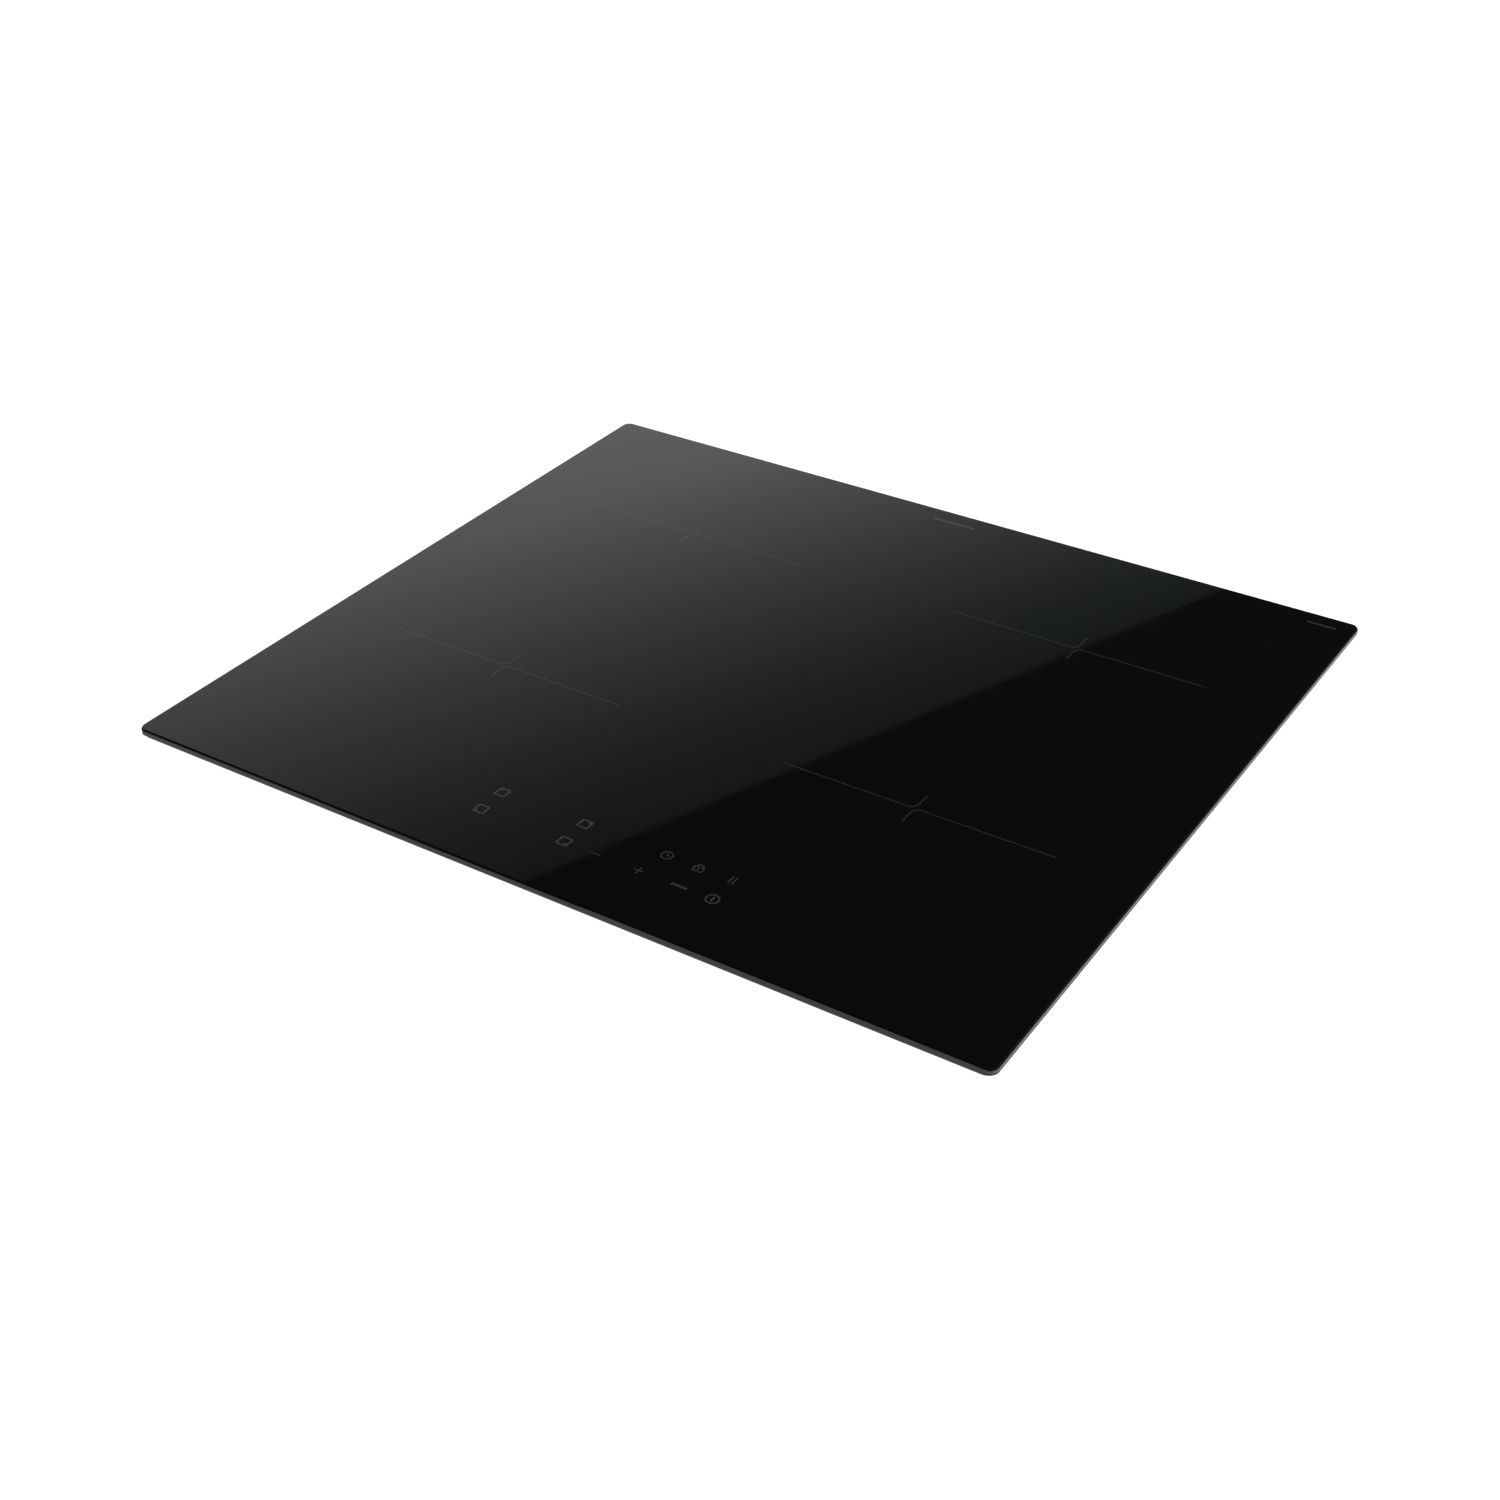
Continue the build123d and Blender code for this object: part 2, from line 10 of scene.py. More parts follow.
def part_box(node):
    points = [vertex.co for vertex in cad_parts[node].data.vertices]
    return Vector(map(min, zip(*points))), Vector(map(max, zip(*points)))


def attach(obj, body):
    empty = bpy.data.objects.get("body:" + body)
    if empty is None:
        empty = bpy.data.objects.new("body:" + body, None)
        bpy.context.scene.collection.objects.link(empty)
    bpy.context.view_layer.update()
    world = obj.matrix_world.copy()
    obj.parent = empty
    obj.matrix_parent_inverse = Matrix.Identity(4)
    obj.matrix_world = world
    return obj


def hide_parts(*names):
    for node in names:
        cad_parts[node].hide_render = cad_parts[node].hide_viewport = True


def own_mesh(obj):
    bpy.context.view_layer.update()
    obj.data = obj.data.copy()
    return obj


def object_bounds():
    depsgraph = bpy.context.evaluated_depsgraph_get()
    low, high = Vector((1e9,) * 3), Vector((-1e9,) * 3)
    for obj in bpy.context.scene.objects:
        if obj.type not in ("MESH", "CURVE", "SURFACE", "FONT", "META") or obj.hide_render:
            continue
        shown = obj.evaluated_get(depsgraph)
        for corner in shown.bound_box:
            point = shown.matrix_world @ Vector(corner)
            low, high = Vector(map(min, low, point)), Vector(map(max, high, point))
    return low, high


bl_info = {
    "name": "Induction Cooktop",
    "version": (1, 0, 0),
    "blender": (4, 5, 0),
    "location": "View3D > Sidebar > Cooktop",
    "description": "Builds the glass, print, coils, finishes and stage of a built-in induction cooktop",
    "category": "Object",
}

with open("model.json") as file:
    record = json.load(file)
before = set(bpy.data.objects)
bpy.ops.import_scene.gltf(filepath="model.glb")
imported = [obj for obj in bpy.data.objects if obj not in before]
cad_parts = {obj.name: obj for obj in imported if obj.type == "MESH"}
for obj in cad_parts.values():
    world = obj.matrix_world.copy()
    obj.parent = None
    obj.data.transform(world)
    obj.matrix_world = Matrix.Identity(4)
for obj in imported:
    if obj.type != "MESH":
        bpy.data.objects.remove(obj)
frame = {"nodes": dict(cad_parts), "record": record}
CAD_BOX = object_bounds()
MM = 0.001
ZONES = ("rear_left", "rear_right", "front_left", "front_right")


# -------- helpers


def linear(hex_colour):
    """sRGB hex colour as linear red, green, blue, alpha."""
    values = [int(hex_colour[i:i + 2], 16) / 255 for i in (1, 3, 5)]
    return [v / 12.92 if v <= 0.04045 else ((v + 0.055) / 1.055) ** 2.4 for v in values] + [1.0]


def add_node(tree, kind, inputs=None, **settings):
    """Adds a node with its settings, and fills or links its inputs."""
    made = tree.nodes.new(kind)
    for key, value in settings.items():
        setattr(made, key, value)
    for key, value in (inputs or {}).items():
        if isinstance(value, bpy.types.NodeSocket):
            tree.links.new(value, made.inputs[key])
        else:
            made.inputs[key].default_value = value
    return made


def centre_of(node):
    """Middle of a CAD node's box."""
    low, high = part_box(node)
    return (low + high) / 2


def glass_top():
    """Height of the cooking surface."""
    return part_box("glass_plate")[1].z


def new_piece(name, mesh, *materials):
    """Object at the origin that holds the mesh, with its materials."""
    piece = bpy.data.objects.new(name, mesh)
    bpy.context.scene.collection.objects.link(piece)
    for material in materials:
        mesh.materials.append(material)
    return piece


def mesh_from(bm, name, smooth_angle=None):
    """Finishes a bmesh as a mesh with faces that point outwards."""
    bmesh.ops.remove_doubles(bm, verts=bm.verts, dist=1e-7)
    bmesh.ops.recalc_face_normals(bm, faces=bm.faces)
    mesh = bpy.data.meshes.new(name)
    bm.to_mesh(mesh)
    bm.free()
    if smooth_angle is not None:
        mesh.shade_smooth()
        mesh.set_sharp_from_angle(angle=math.radians(smooth_angle))
    return mesh


def rounded_loop(width, depth, radius, steps=10):
    """Corner points of a rounded rectangle round the origin, anticlockwise."""
    points = []
    for turn, (sx, sy) in enumerate(((1, 1), (-1, 1), (-1, -1), (1, -1))):
        cx, cy = sx * (width / 2 - radius), sy * (depth / 2 - radius)
        for i in range(steps + 1):
            a = math.radians(90 * turn + 90 * i / steps)
            points.append((cx + radius * math.cos(a), cy + radius * math.sin(a)))
    return points


def moved(points, x, y):
    """The same outline about another centre."""
    return [(x + px, y + py) for px, py in points]


def band(bm, here, beyond, finish=0):
    """Faces between two loops with the same number of points."""
    count = len(here)
    for i in range(count):
        j = (i + 1) % count
        bm.faces.new((here[i], here[j], beyond[j], beyond[i])).material_index = finish


# -------- finishes


def calc(tree, operation, first, second):
    """Result of a sum on two values."""
    return add_node(tree, "ShaderNodeMath", {0: first, 1: second}, operation=operation).outputs[0]


def principled(name, **inputs):
    """New material with a Principled shader, its tree, and Object coordinates."""
    material = bpy.data.materials.new(name)
    material.use_nodes = True
    tree = material.node_tree
    shader = tree.nodes["Principled BSDF"]
    for key, value in inputs.items():
        shader.inputs[key.replace("_", " ")].default_value = value
    place = add_node(tree, "ShaderNodeTexCoord").outputs["Object"]
    return material, tree, shader, place


def noise(tree, place, size, detail, roughness=0.5):
    """Noise with features of a size in millimetres."""
    return add_node(tree, "ShaderNodeTexNoise", {
        "Vector": place, "Scale": 1 / (size * MM), "Detail": detail, "Roughness": roughness}).outputs[0]


def cells(tree, place, size):
    """Two random values for each crystal or flake of a size in millimetres."""
    pattern = add_node(tree, "ShaderNodeTexVoronoi", {"Vector": place, "Scale": 1 / (size * MM)})
    return add_node(tree, "ShaderNodeSeparateColor", {"Color": pattern.outputs["Color"]}).outputs[:2]


def blend(tree, factor, dark, light):
    """Colour between two tones."""
    return add_node(tree, "ShaderNodeMix", {
        "Factor": factor, "A": dark, "B": light}, data_type="RGBA").outputs["Result"]


def spread(tree, value, low, high, start=0.0, end=1.0):
    """Value that runs from low to high while the given one runs from start to end."""
    return add_node(tree, "ShaderNodeMapRange", {
        "Value": value, "From Min": start, "From Max": end, "To Min": low, "To Max": high}).outputs[0]


def relief(tree, height, strength, depth):
    """Normal of a fine relief whose depth is in millimetres."""
    return add_node(tree, "ShaderNodeBump", {
        "Height": height, "Strength": strength, "Distance": depth * MM}).outputs[0]


def finish(material, tree, shader, colour, gloss, normal=None):
    """Feeds the shader its colour, roughness and normal, and returns the material."""
    tree.links.new(colour, shader.inputs["Base Color"])
    tree.links.new(gloss, shader.inputs["Roughness"])
    if normal is not None:
        tree.links.new(normal, shader.inputs["Normal"])
    return material


def grained(name, dark, light, grain, rough, bump, metallic=0.0, ior=1.5, stretch=(1, 1, 1)):
    """Finish whose tone, gloss and relief all vary with one grain size in millimetres."""
    material, tree, shader, place = principled(name, Metallic=metallic, IOR=ior)
    drawn = add_node(tree, "ShaderNodeMapping", {"Vector": place, "Scale": stretch}).outputs[0]
    coarse = noise(tree, drawn, 6 * grain, 3.0)
    fine = noise(tree, drawn, grain, 4.0, 0.6)
    return finish(material, tree, shader, blend(tree, coarse, linear(dark), linear(light)),
                  spread(tree, fine, rough[0], rough[1], 0.3, 0.7), relief(tree, fine, 0.35, bump))


def glass_ceramic_polished():
    """Black lithium-aluminosilicate glass-ceramic, float polished: a near-black body under one sharp,
    mirror-like reflection, with faint wipe marks that only change the gloss."""
    material, tree, shader, place = principled("glass_ceramic_polished", IOR=1.52)
    # Wipe marks are long and soft, about 60 mm by 15 mm
    swept = add_node(tree, "ShaderNodeMapping", {
        "Vector": place, "Rotation": (0, 0, math.radians(25)), "Scale": (1, 4, 1)})
    marks = noise(tree, swept.outputs[0], 60, 3.0)
    light = list(bpy.context.scene.cooktop_glass.body_colour) + [1.0]
    return finish(material, tree, shader, blend(tree, marks, linear("#060707"), light),
                  spread(tree, marks, 0.022, 0.04, 0.35, 0.7))


def glass_edge_ground():
    """The same glass with its edge ground by a diamond wheel: satin and a little warm, with fine marks
    along the edge. The ground skin scatters light, so it mirrors less than the polished face."""
    material, tree, shader, place = principled("glass_edge_ground", IOR=1.3)
    # Wheel marks run along the edge, 0.3 mm apart: coarser than the real grit, so that they show
    along = add_node(tree, "ShaderNodeMapping", {"Vector": place, "Scale": (0.06, 0.06, 1)})
    marks = noise(tree, along.outputs[0], 0.3, 2.0)
    patches = noise(tree, place, 25, 2.0)
    both = calc(tree, "MULTIPLY", marks, patches)
    tone = blend(tree, both, linear("#24211F"), linear("#45413E"))
    return finish(material, tree, shader, tone, spread(tree, marks, 0.26, 0.4, 0.3, 0.7),
                  relief(tree, marks, 0.3, 0.02))


def ceramic_enamel_print(name, colour):
    """Screen-printed bismuth-frit enamel fired on the glass: dark grey, slightly grainy from the mesh. Its
    skin is smooth and of a high index, so it mirrors a lamp a little more than the glass round it does."""
    material, tree, shader, place = principled(name, IOR=1.8)
    # Screen mesh of about 0.2 mm
    mesh = add_node(tree, "ShaderNodeTexVoronoi", {"Vector": place, "Scale": 1 / (0.2 * MM)})
    dots = mesh.outputs["Distance"]
    tone = blend(tree, dots, list(colour) + [1.0], [c * 0.75 for c in colour] + [1.0])
    return finish(material, tree, shader, tone, spread(tree, dots, 0.05, 0.1),
                  relief(tree, dots, 0.1, 0.01))


def hot_dip_galvanised_steel():
    """Zinc-coated sheet steel: flat grey crystals (spangle) about 4 mm across that differ only a little in
    tone and gloss, under a faint rolling haze."""
    material, tree, shader, place = principled("hot_dip_galvanised_steel", Metallic=1.0)
    tint, gleam = cells(tree, place, 4)
    haze = noise(tree, place, 1.2, 4.0)
    mixed = calc(tree, "MULTIPLY", gleam, haze)
    return finish(material, tree, shader, blend(tree, tint, linear("#8F9294"), linear("#9DA0A2")),
                  spread(tree, mixed, 0.42, 0.56), relief(tree, haze, 0.25, 0.03))


def pressed_mica_paper():
    """Pressed mica paper: golden brown flakes about 2 mm across that glint one by one."""
    material, tree, shader, place = principled("pressed_mica_paper", IOR=1.58)
    tint, gleam = cells(tree, place, 2)
    return finish(material, tree, shader, blend(tree, tint, linear("#A58F6C"), linear("#C9B593")),
                  spread(tree, gleam, 0.2, 0.5))


def enamelled_litz_copper():
    """Litz rope of enamelled copper strands: red-brown, glossy, with strands that twist across the rope."""
    material, tree, shader, place = principled("enamelled_litz_copper", Metallic=0.85)
    # Strands show as bands 0.6 mm wide, drawn coarser than the real 0.2 mm wires so that they show
    strands = add_node(tree, "ShaderNodeTexWave", {
        "Vector": place, "Scale": 1 / (2 * 0.6 * MM) / math.tau, "Distortion": 2.0, "Detail": 1.0},
        wave_type="RINGS", rings_direction="SPHERICAL").outputs["Fac"]
    return finish(material, tree, shader, blend(tree, strands, linear("#7A3B22"), linear("#B4643C")),
                  spread(tree, strands, 0.24, 0.4))


def solder_masked_laminate():
    """Glass-fibre laminate under green solder mask: glossy green, crossed by lighter lines 3 mm apart."""
    material, tree, shader, place = principled("solder_masked_laminate", IOR=1.55)
    tracks = add_node(tree, "ShaderNodeTexBrick", {
        "Vector": place, "Scale": 1.0, "Brick Width": 12 * MM, "Row Height": 3 * MM,
        "Mortar Size": 0.5 * MM, "Color1": linear("#14452B"), "Color2": linear("#184E31"),
        "Mortar": linear("#246B45")})
    return finish(material, tree, shader, tracks.outputs["Color"],
                  spread(tree, tracks.outputs["Fac"], 0.32, 0.22))


# Finishes of one grain: dark and light tone, grain in millimetres, range of roughness, depth of the relief in
# millimetres, and what else sets them apart
GRAINED = {
    # Rolled aluminium sheet: bright, with rolling lines along X, half a millimetre apart
    "mill_finish_aluminium": (
        "#C4C6C8", "#DADCDD", 0.5, (0.24, 0.42), 0.02, {"metallic": 1.0, "stretch": (0.05, 1, 1)}),
    # Extruded aluminium: straight die lines along Y on every fin, duller than sheet
    "extruded_aluminium": (
        "#B0B2B4", "#CFD1D2", 0.4, (0.32, 0.5), 0.03, {"metallic": 1.0, "stretch": (1, 0.04, 1)}),
    # Bright zinc plate on turned or pressed steel: cool silver with small dull patches
    "zinc_plated_steel": ("#A9ADB0", "#CDD0D2", 0.8, (0.2, 0.42), 0.015, {"metallic": 1.0}),
    # Drawn steel spring wire: grey, satin, with fine lengthwise marks
    "drawn_spring_wire": ("#8C8E90", "#B5B7B8", 0.3, (0.25, 0.4), 0.01, {"metallic": 1.0}),
    # Nickel-plated brass screws: warm silver, fairly bright
    "nickel_plated_brass": ("#B9B3A4", "#D8D2C4", 0.4, (0.18, 0.34), 0.01, {"metallic": 1.0}),
    # Black glass-filled polyamide, moulded: dark grey with a spark-eroded grain that kills the shine
    "glass_filled_polyamide": ("#151617", "#222325", 0.35, (0.42, 0.6), 0.03, {"ior": 1.53}),
    # Natural polyamide, moulded: off-white, smooth, slightly waxy
    "natural_polyamide": ("#CFCCC2", "#E2DFD6", 0.8, (0.35, 0.5), 0.02, {"ior": 1.53}),
    # White PBT moulding: cleaner white than polyamide, with a satin skin
    "white_pbt_moulding": ("#DEDEDB", "#ECECE9", 0.7, (0.3, 0.44), 0.015, {"ior": 1.56}),
    # Cream thermoset terminal block: hard and glossy with a slight flow mottling
    "cream_melamine": ("#D2CBB6", "#E4DDC9", 1.5, (0.2, 0.34), 0.01, {"ior": 1.6}),
    # Black silicone: smooth with a soft sheen
    "cast_silicone_rubber": ("#0E0E0E", "#191919", 1.0, (0.4, 0.52), 0.02, {"ior": 1.42}),
    # Black EPDM rubber: matt, with a bloom that greys it a little
    "moulded_epdm_rubber": ("#131313", "#232322", 0.6, (0.62, 0.8), 0.03, {"ior": 1.5}),
    # Closed-cell sealing foam: charcoal, fully matt, with open cut cells half a millimetre wide
    "closed_cell_foam": ("#252526", "#363638", 0.5, (0.85, 0.95), 0.12, {"ior": 1.4}),
    # Carbon-loaded foam posts: black, sooty and matt
    "conductive_foam": ("#101010", "#1E1E1E", 0.4, (0.8, 0.92), 0.08, {"ior": 1.4}),
    # Pressed and sintered ferrite: dark slate, stony, with a dull sheen
    "sintered_ferrite": ("#26272A", "#37383C", 0.3, (0.4, 0.62), 0.04, {"ior": 2.2}),
    # Moulded cases of capacitors, chokes and plugs: smooth plastic in dark blue-grey to black
    "component_cases": ("#17191D", "#2B3038", 4.0, (0.22, 0.36), 0.005, {"ior": 1.55}),
    # Transfer-moulded epoxy of power transistors: black, matt
    "black_epoxy": ("#121212", "#1C1C1D", 0.3, (0.5, 0.66), 0.02, {"ior": 1.55}),
    # Smoked window of the light-emitting digits: black and glossy
    "display_window": ("#0B0A0A", "#161214", 3.0, (0.1, 0.18), 0.002, {"ior": 1.5}),
    # Silicone lead insulation: brown-red, soft satin
    "silicone_lead_insulation": ("#6E2A20", "#84382B", 1.0, (0.4, 0.52), 0.01, {"ior": 1.42}),
    # Heat-resistant PPS coil carrier: charcoal with a slight glass-fibre haze
    "thermoplastic_carrier": ("#212224", "#313235", 0.4, (0.45, 0.62), 0.03, {"ior": 1.6}),
}


def plain(name):
    """Finish of this name from the table."""
    *values, more = GRAINED[name]
    return grained(name, *values, **more)


# Finish of each material slot of the record
SHEET_METAL = {
    "galvanised_sheet": "hot_dip_galvanised_steel",
    "deck_sheet": "mill_finish_aluminium",
    "zinc_screw": "zinc_plated_steel",
    "clamp_steel": "zinc_plated_steel",
}
ELECTRONICS = {
    "board_laminate": "solder_masked_laminate",
    "sink_aluminium": "extruded_aluminium",
    "board_component": "component_cases",
    "transistor_epoxy": "black_epoxy",
    "display_block": "display_window",
    "lead_insulation": "silicone_lead_insulation",
    "conductive_foam": "conductive_foam",
}
MOULDINGS = {
    "tray_plastic": "natural_polyamide",
    "fan_plastic": "glass_filled_polyamide",
    "holder_plastic": "white_pbt_moulding",
    "terminal_plastic": "glass_filled_polyamide",
    "terminal_ceramic": "cream_melamine",
    "nickel_screw": "nickel_plated_brass",
    "gland_rubber": "moulded_epdm_rubber",
    "silicone_bond": "cast_silicone_rubber",
}
COIL_PARTS = {
    "carrier_plastic": "thermoplastic_carrier",
    "ferrite": "sintered_ferrite",
    "mica": "pressed_mica_paper",
    "sensor_can": "mill_finish_aluminium",
}
PATTERNED = {
    "hot_dip_galvanised_steel": hot_dip_galvanised_steel,
    "pressed_mica_paper": pressed_mica_paper,
    "solder_masked_laminate": solder_masked_laminate,
}


def dress(finishes):
    """Gives every CAD node of these record slots its finish."""
    made = {}
    for part in frame["record"]["subparts"]:
        slot = part["material_slot"]
        if slot not in finishes:
            continue
        name = finishes[slot]
        if name not in made:
            made[name] = PATTERNED[name]() if name in PATTERNED else plain(name)
        node = frame["nodes"][part["node"]]
        if not node.material_slots:
            node.data.materials.append(made[name])
        for place in node.material_slots:
            place.material = made[name]
    if not made:
        raise RuntimeError("the frame has no node for these finishes")


# -------- sizes and colours


def metres(label, about, default):
    """Property that holds a length."""
    return FloatProperty(name=label, description=about, default=default, unit="LENGTH")


class CooktopGlass(bpy.types.PropertyGroup):
    corner_radius: metres("Corner radius", "Radius of the plate's corners", 0.006)
    top_arris: metres("Top arris", "Width of the softened chamfer round the top", 0.001)
    bottom_arris: metres("Bottom arris", "Width of the rounded bottom edge", 0.0002)
    seam_height: metres("Seam height", "Height of the grinding seam over the underside", 0.0011)
    seam_width: metres("Seam width", "Width of the grinding seam", 0.0008)
    seal_bulge: metres("Seal bulge", "How far the squeezed foam seal stands out", 0.0015)
    seal_strip: metres("Seal width", "Width of the foam seal", 0.010)
    body_colour: FloatVectorProperty(
        name="Glass colour", description="Colour of the glass body", subtype="COLOR",
        default=linear("#090A0A")[:3], min=0.0, max=1.0)


class CooktopPrint(bpy.types.PropertyGroup):
    line: metres("Mark line", "Line width of the zone marks", 0.0006)
    arm: metres("Mark arm", "Half length of a zone mark", 0.090)
    stub: metres("Mark stub", "Half height of a zone mark", 0.0153)
    fillet: metres("Mark fillet", "Radius where arm and stub meet", 0.0046)
    symbol_line: metres("Symbol line", "Line width of the touch symbols", 0.00085)
    height: metres("Print height", "How far the enamel stands on the glass", 0.00005)
    shift: FloatVectorProperty(
        name="Print shift", description="How far the print sits off the coil centres", size=2,
        default=(0.0005, -0.0005), unit="LENGTH")
    symbol_colour: FloatVectorProperty(
        name="Symbol colour", description="Colour of the touch symbols' enamel", subtype="COLOR",
        default=linear("#3C3D3E")[:3], min=0.0, max=1.0)
    mark_colour: FloatVectorProperty(
        name="Mark colour", description="Colour of the zone marks' enamel", subtype="COLOR",
        default=linear("#323334")[:3], min=0.0, max=1.0)


class CooktopCoils(bpy.types.PropertyGroup):
    turns: FloatProperty(name="Turns", description="Turns of a winding", default=14.0)
    inner_radius: metres("Inner radius", "Radius of the first turn", 0.02235)
    outer_radius: metres("Outer radius", "Radius of the last turn", 0.08815)
    rope: metres("Litz radius", "Radius of the litz rope", 0.0023)
    bundles: IntProperty(name="Bundles", description="Strand bundles in the rope", default=7, min=3)
    lay: metres("Lay length", "Length of rope in which a bundle turns once", 0.04)
    spring_turns: FloatProperty(name="Spring turns", description="Turns in each spring", default=4.0)
    spring_wire: metres("Spring wire", "Radius of the spring wire", 0.0006)
    spring_radius: metres("Spring radius", "Mean radius of a spring", 0.005)
    spring_place: metres("Spring circle", "Distance of the springs from the zone's centre", 0.074)
    springs: IntProperty(name="Springs", description="Springs under each coil", default=3, min=1)


class CooktopStage(bpy.types.PropertyGroup):
    lens: FloatProperty(name="Lens", description="Focal length in millimetres", default=53.69)
    key_power: FloatProperty(name="Key light", description="Power of the light at the right", default=230.0)
    fill_power: FloatProperty(name="Fill light", description="Power of the light at the front", default=9.0)


# -------- glass plate


POLISHED, GROUND = 0, 1
# Strip of the flat faces that borders their arrises, so that the faces are shaded flat right up to them
FLAT_RIM = 0.25 * MM
# How far over the seam's slope the edge is back at its full width
SEAM_LIP = 0.05 * MM
# Section of the softened chamfer, as shares of its width: inset, and drop under the top face
CHAMFER = ((0.0, 1.0), (0.1, 0.8), (0.45, 0.45), (0.8, 0.1), (1.0, 0.0))


def edge_loops():
    """Inset, height and finish of each loop up the edge. A loop's finish is that of the band above it."""
    glass = bpy.context.scene.cooktop_glass
    low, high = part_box("glass_plate")
    under, over = glass.bottom_arris, glass.top_arris
    seam, half = low.z + glass.seam_height, glass.seam_width / 2
    loops = [(under + FLAT_RIM, low.z, GROUND)]
    for i in range(5):
        a = math.radians(22.5 * i)
        loops.append((under * (1 - math.sin(a)), low.z + under * (1 - math.cos(a)), GROUND))
    # A shallow seam parts the two passes of the grinding wheel; its polished slope faces up
    loops.append((0.0, seam - half, POLISHED))
    loops.append((half, seam + half, GROUND))
    loops.append((0.0, seam + half + SEAM_LIP, GROUND))
    loops += [(over * inset, high.z - over * drop, POLISHED) for inset, drop in CHAMFER]
    loops.append((over + FLAT_RIM, high.z, POLISHED))
    return loops


def plate_mesh():
    """Plate with a polished top face and chamfer, and an edge ground in two passes."""
    glass = bpy.context.scene.cooktop_glass
    low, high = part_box("glass_plate")
    width, depth = high.x - low.x, high.y - low.y
    bm = bmesh.new()
    rings, finishes = [], []
    for inset, z, finish_above in edge_loops():
        outline = rounded_loop(width - 2 * inset, depth - 2 * inset, glass.corner_radius - inset, 12)
        rings.append([bm.verts.new((x, y, z)) for x, y in outline])
        finishes.append(finish_above)
    for lower, upper, finish_above in zip(rings, rings[1:], finishes):
        band(bm, lower, upper, finish_above)
    bm.faces.new(rings[-1])
    bm.faces.new(rings[0][::-1])
    return mesh_from(bm, "glass_plate_finished", 30)


class COOKTOP_OT_glass(bpy.types.Operator):
    """Build the glass plate with its chamfer and ground edge"""

    bl_idname = "cooktop.glass"
    bl_label = "Glass plate"

    def execute(self, context):
        plate = new_piece("glass_plate_finished", plate_mesh(), glass_ceramic_polished(),
                          glass_edge_ground())
        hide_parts("glass_plate")
        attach(plate, "housing")
        return {"FINISHED"}


# Section of the squeezed foam from its outer foot to its top: share of the bulge, share of the height
SEAL_BULGE = ((0.8, 0.0), (0.97, 0.12), (1.0, 0.3), (0.93, 0.55), (0.7, 0.8), (0.3, 1.0))
SEAL_CORNER = 6 * MM


class COOKTOP_OT_seal(bpy.types.Operator):
    """Build the foam seal, squeezed so that it bulges under the rim of the glass"""

    bl_idname = "cooktop.seal"
    bl_label = "Worktop seal"

    def execute(self, context):
        glass = context.scene.cooktop_glass
        low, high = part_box("worktop_seal")
        width, depth, tall = high.x - low.x, high.y - low.y, high.z - low.z
        bulge, strip = glass.seal_bulge, glass.seal_strip
        # How far out each point of the section stands and how high; its inner side bulges less
        profile = [(-strip - bulge * 0.3, 0.0)]
        profile += [(bulge * out, tall * up) for out, up in SEAL_BULGE]
        profile += [(-strip, tall), (-strip - bulge * 0.5, tall * 0.5)]
        bm = bmesh.new()
        rings = []
        for out, up in profile:
            outline = rounded_loop(width + 2 * out, depth + 2 * out, SEAL_CORNER, 8)
            rings.append([bm.verts.new((x, y, low.z + up)) for x, y in outline])
        for here, beyond in zip(rings, rings[1:] + rings[:1]):
            band(bm, here, beyond)
        mesh = mesh_from(bm, "foam_seal_squeezed", 50)
        seal = new_piece("foam_seal_squeezed", mesh, plain("closed_cell_foam"))
        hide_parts("worktop_seal")
        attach(seal, "housing")
        return {"FINISHED"}


# -------- print


def prism(bm, outline, z0, z1):
    """Closed prism on a convex outline."""
    low = [bm.verts.new((x, y, z0)) for x, y in outline]
    high = [bm.verts.new((x, y, z1)) for x, y in outline]
    bm.faces.new(high)
    bm.faces.new(low[::-1])
    band(bm, low, high)


def ring(bm, outer, inner, z0, z1):
    """Closed band between two outlines with the same number of points."""
    rows = [[bm.verts.new((x, y, z)) for x, y in line] for line, z in (
        (outer, z0), (outer, z1), (inner, z1), (inner, z0))]
    for here, beyond in zip(rows, rows[1:] + rows[:1]):
        band(bm, here, beyond)


def bar(bm, x, y, width, height, z):
    """Printed bar with rounded ends, centred on x, y."""
    # A little short of a half circle, so that the ends keep a flat between their quarter turns
    radius = min(width, height) / 2 * 0.98
    prism(bm, moved(rounded_loop(width, height, radius, 5), x, y), z[0], z[1])


def circle(x, y, radius, start=0.0, end=360.0, steps=40):
    """Points of an arc."""
    angles = [math.radians(start + (end - start) * i / steps) for i in range(steps + 1)]
    return [(x + radius * math.cos(a), y + radius * math.sin(a)) for a in angles]


def arc_band(bm, x, y, radius, line, start, end, z):
    """Open printed arc of a given line width."""
    outer = circle(x, y, radius + line / 2, start, end, 16)
    inner = circle(x, y, radius - line / 2, start, end, 16)
    # Four corners of the section at each step along the arc, going round the section
    rows = [[bm.verts.new((*p, z[0])), bm.verts.new((*q, z[0])), bm.verts.new((*q, z[1])),
             bm.verts.new((*p, z[1]))] for p, q in zip(inner, outer)]
    for here, beyond in zip(rows, rows[1:]):
        band(bm, here, beyond)
    bm.faces.new(rows[0][::-1])
    bm.faces.new(rows[-1])


def hoop(bm, x, y, radius, line, z):
    """Printed circle line."""
    ring(bm, circle(x, y, radius)[:-1], circle(x, y, radius - line)[:-1], z[0], z[1])


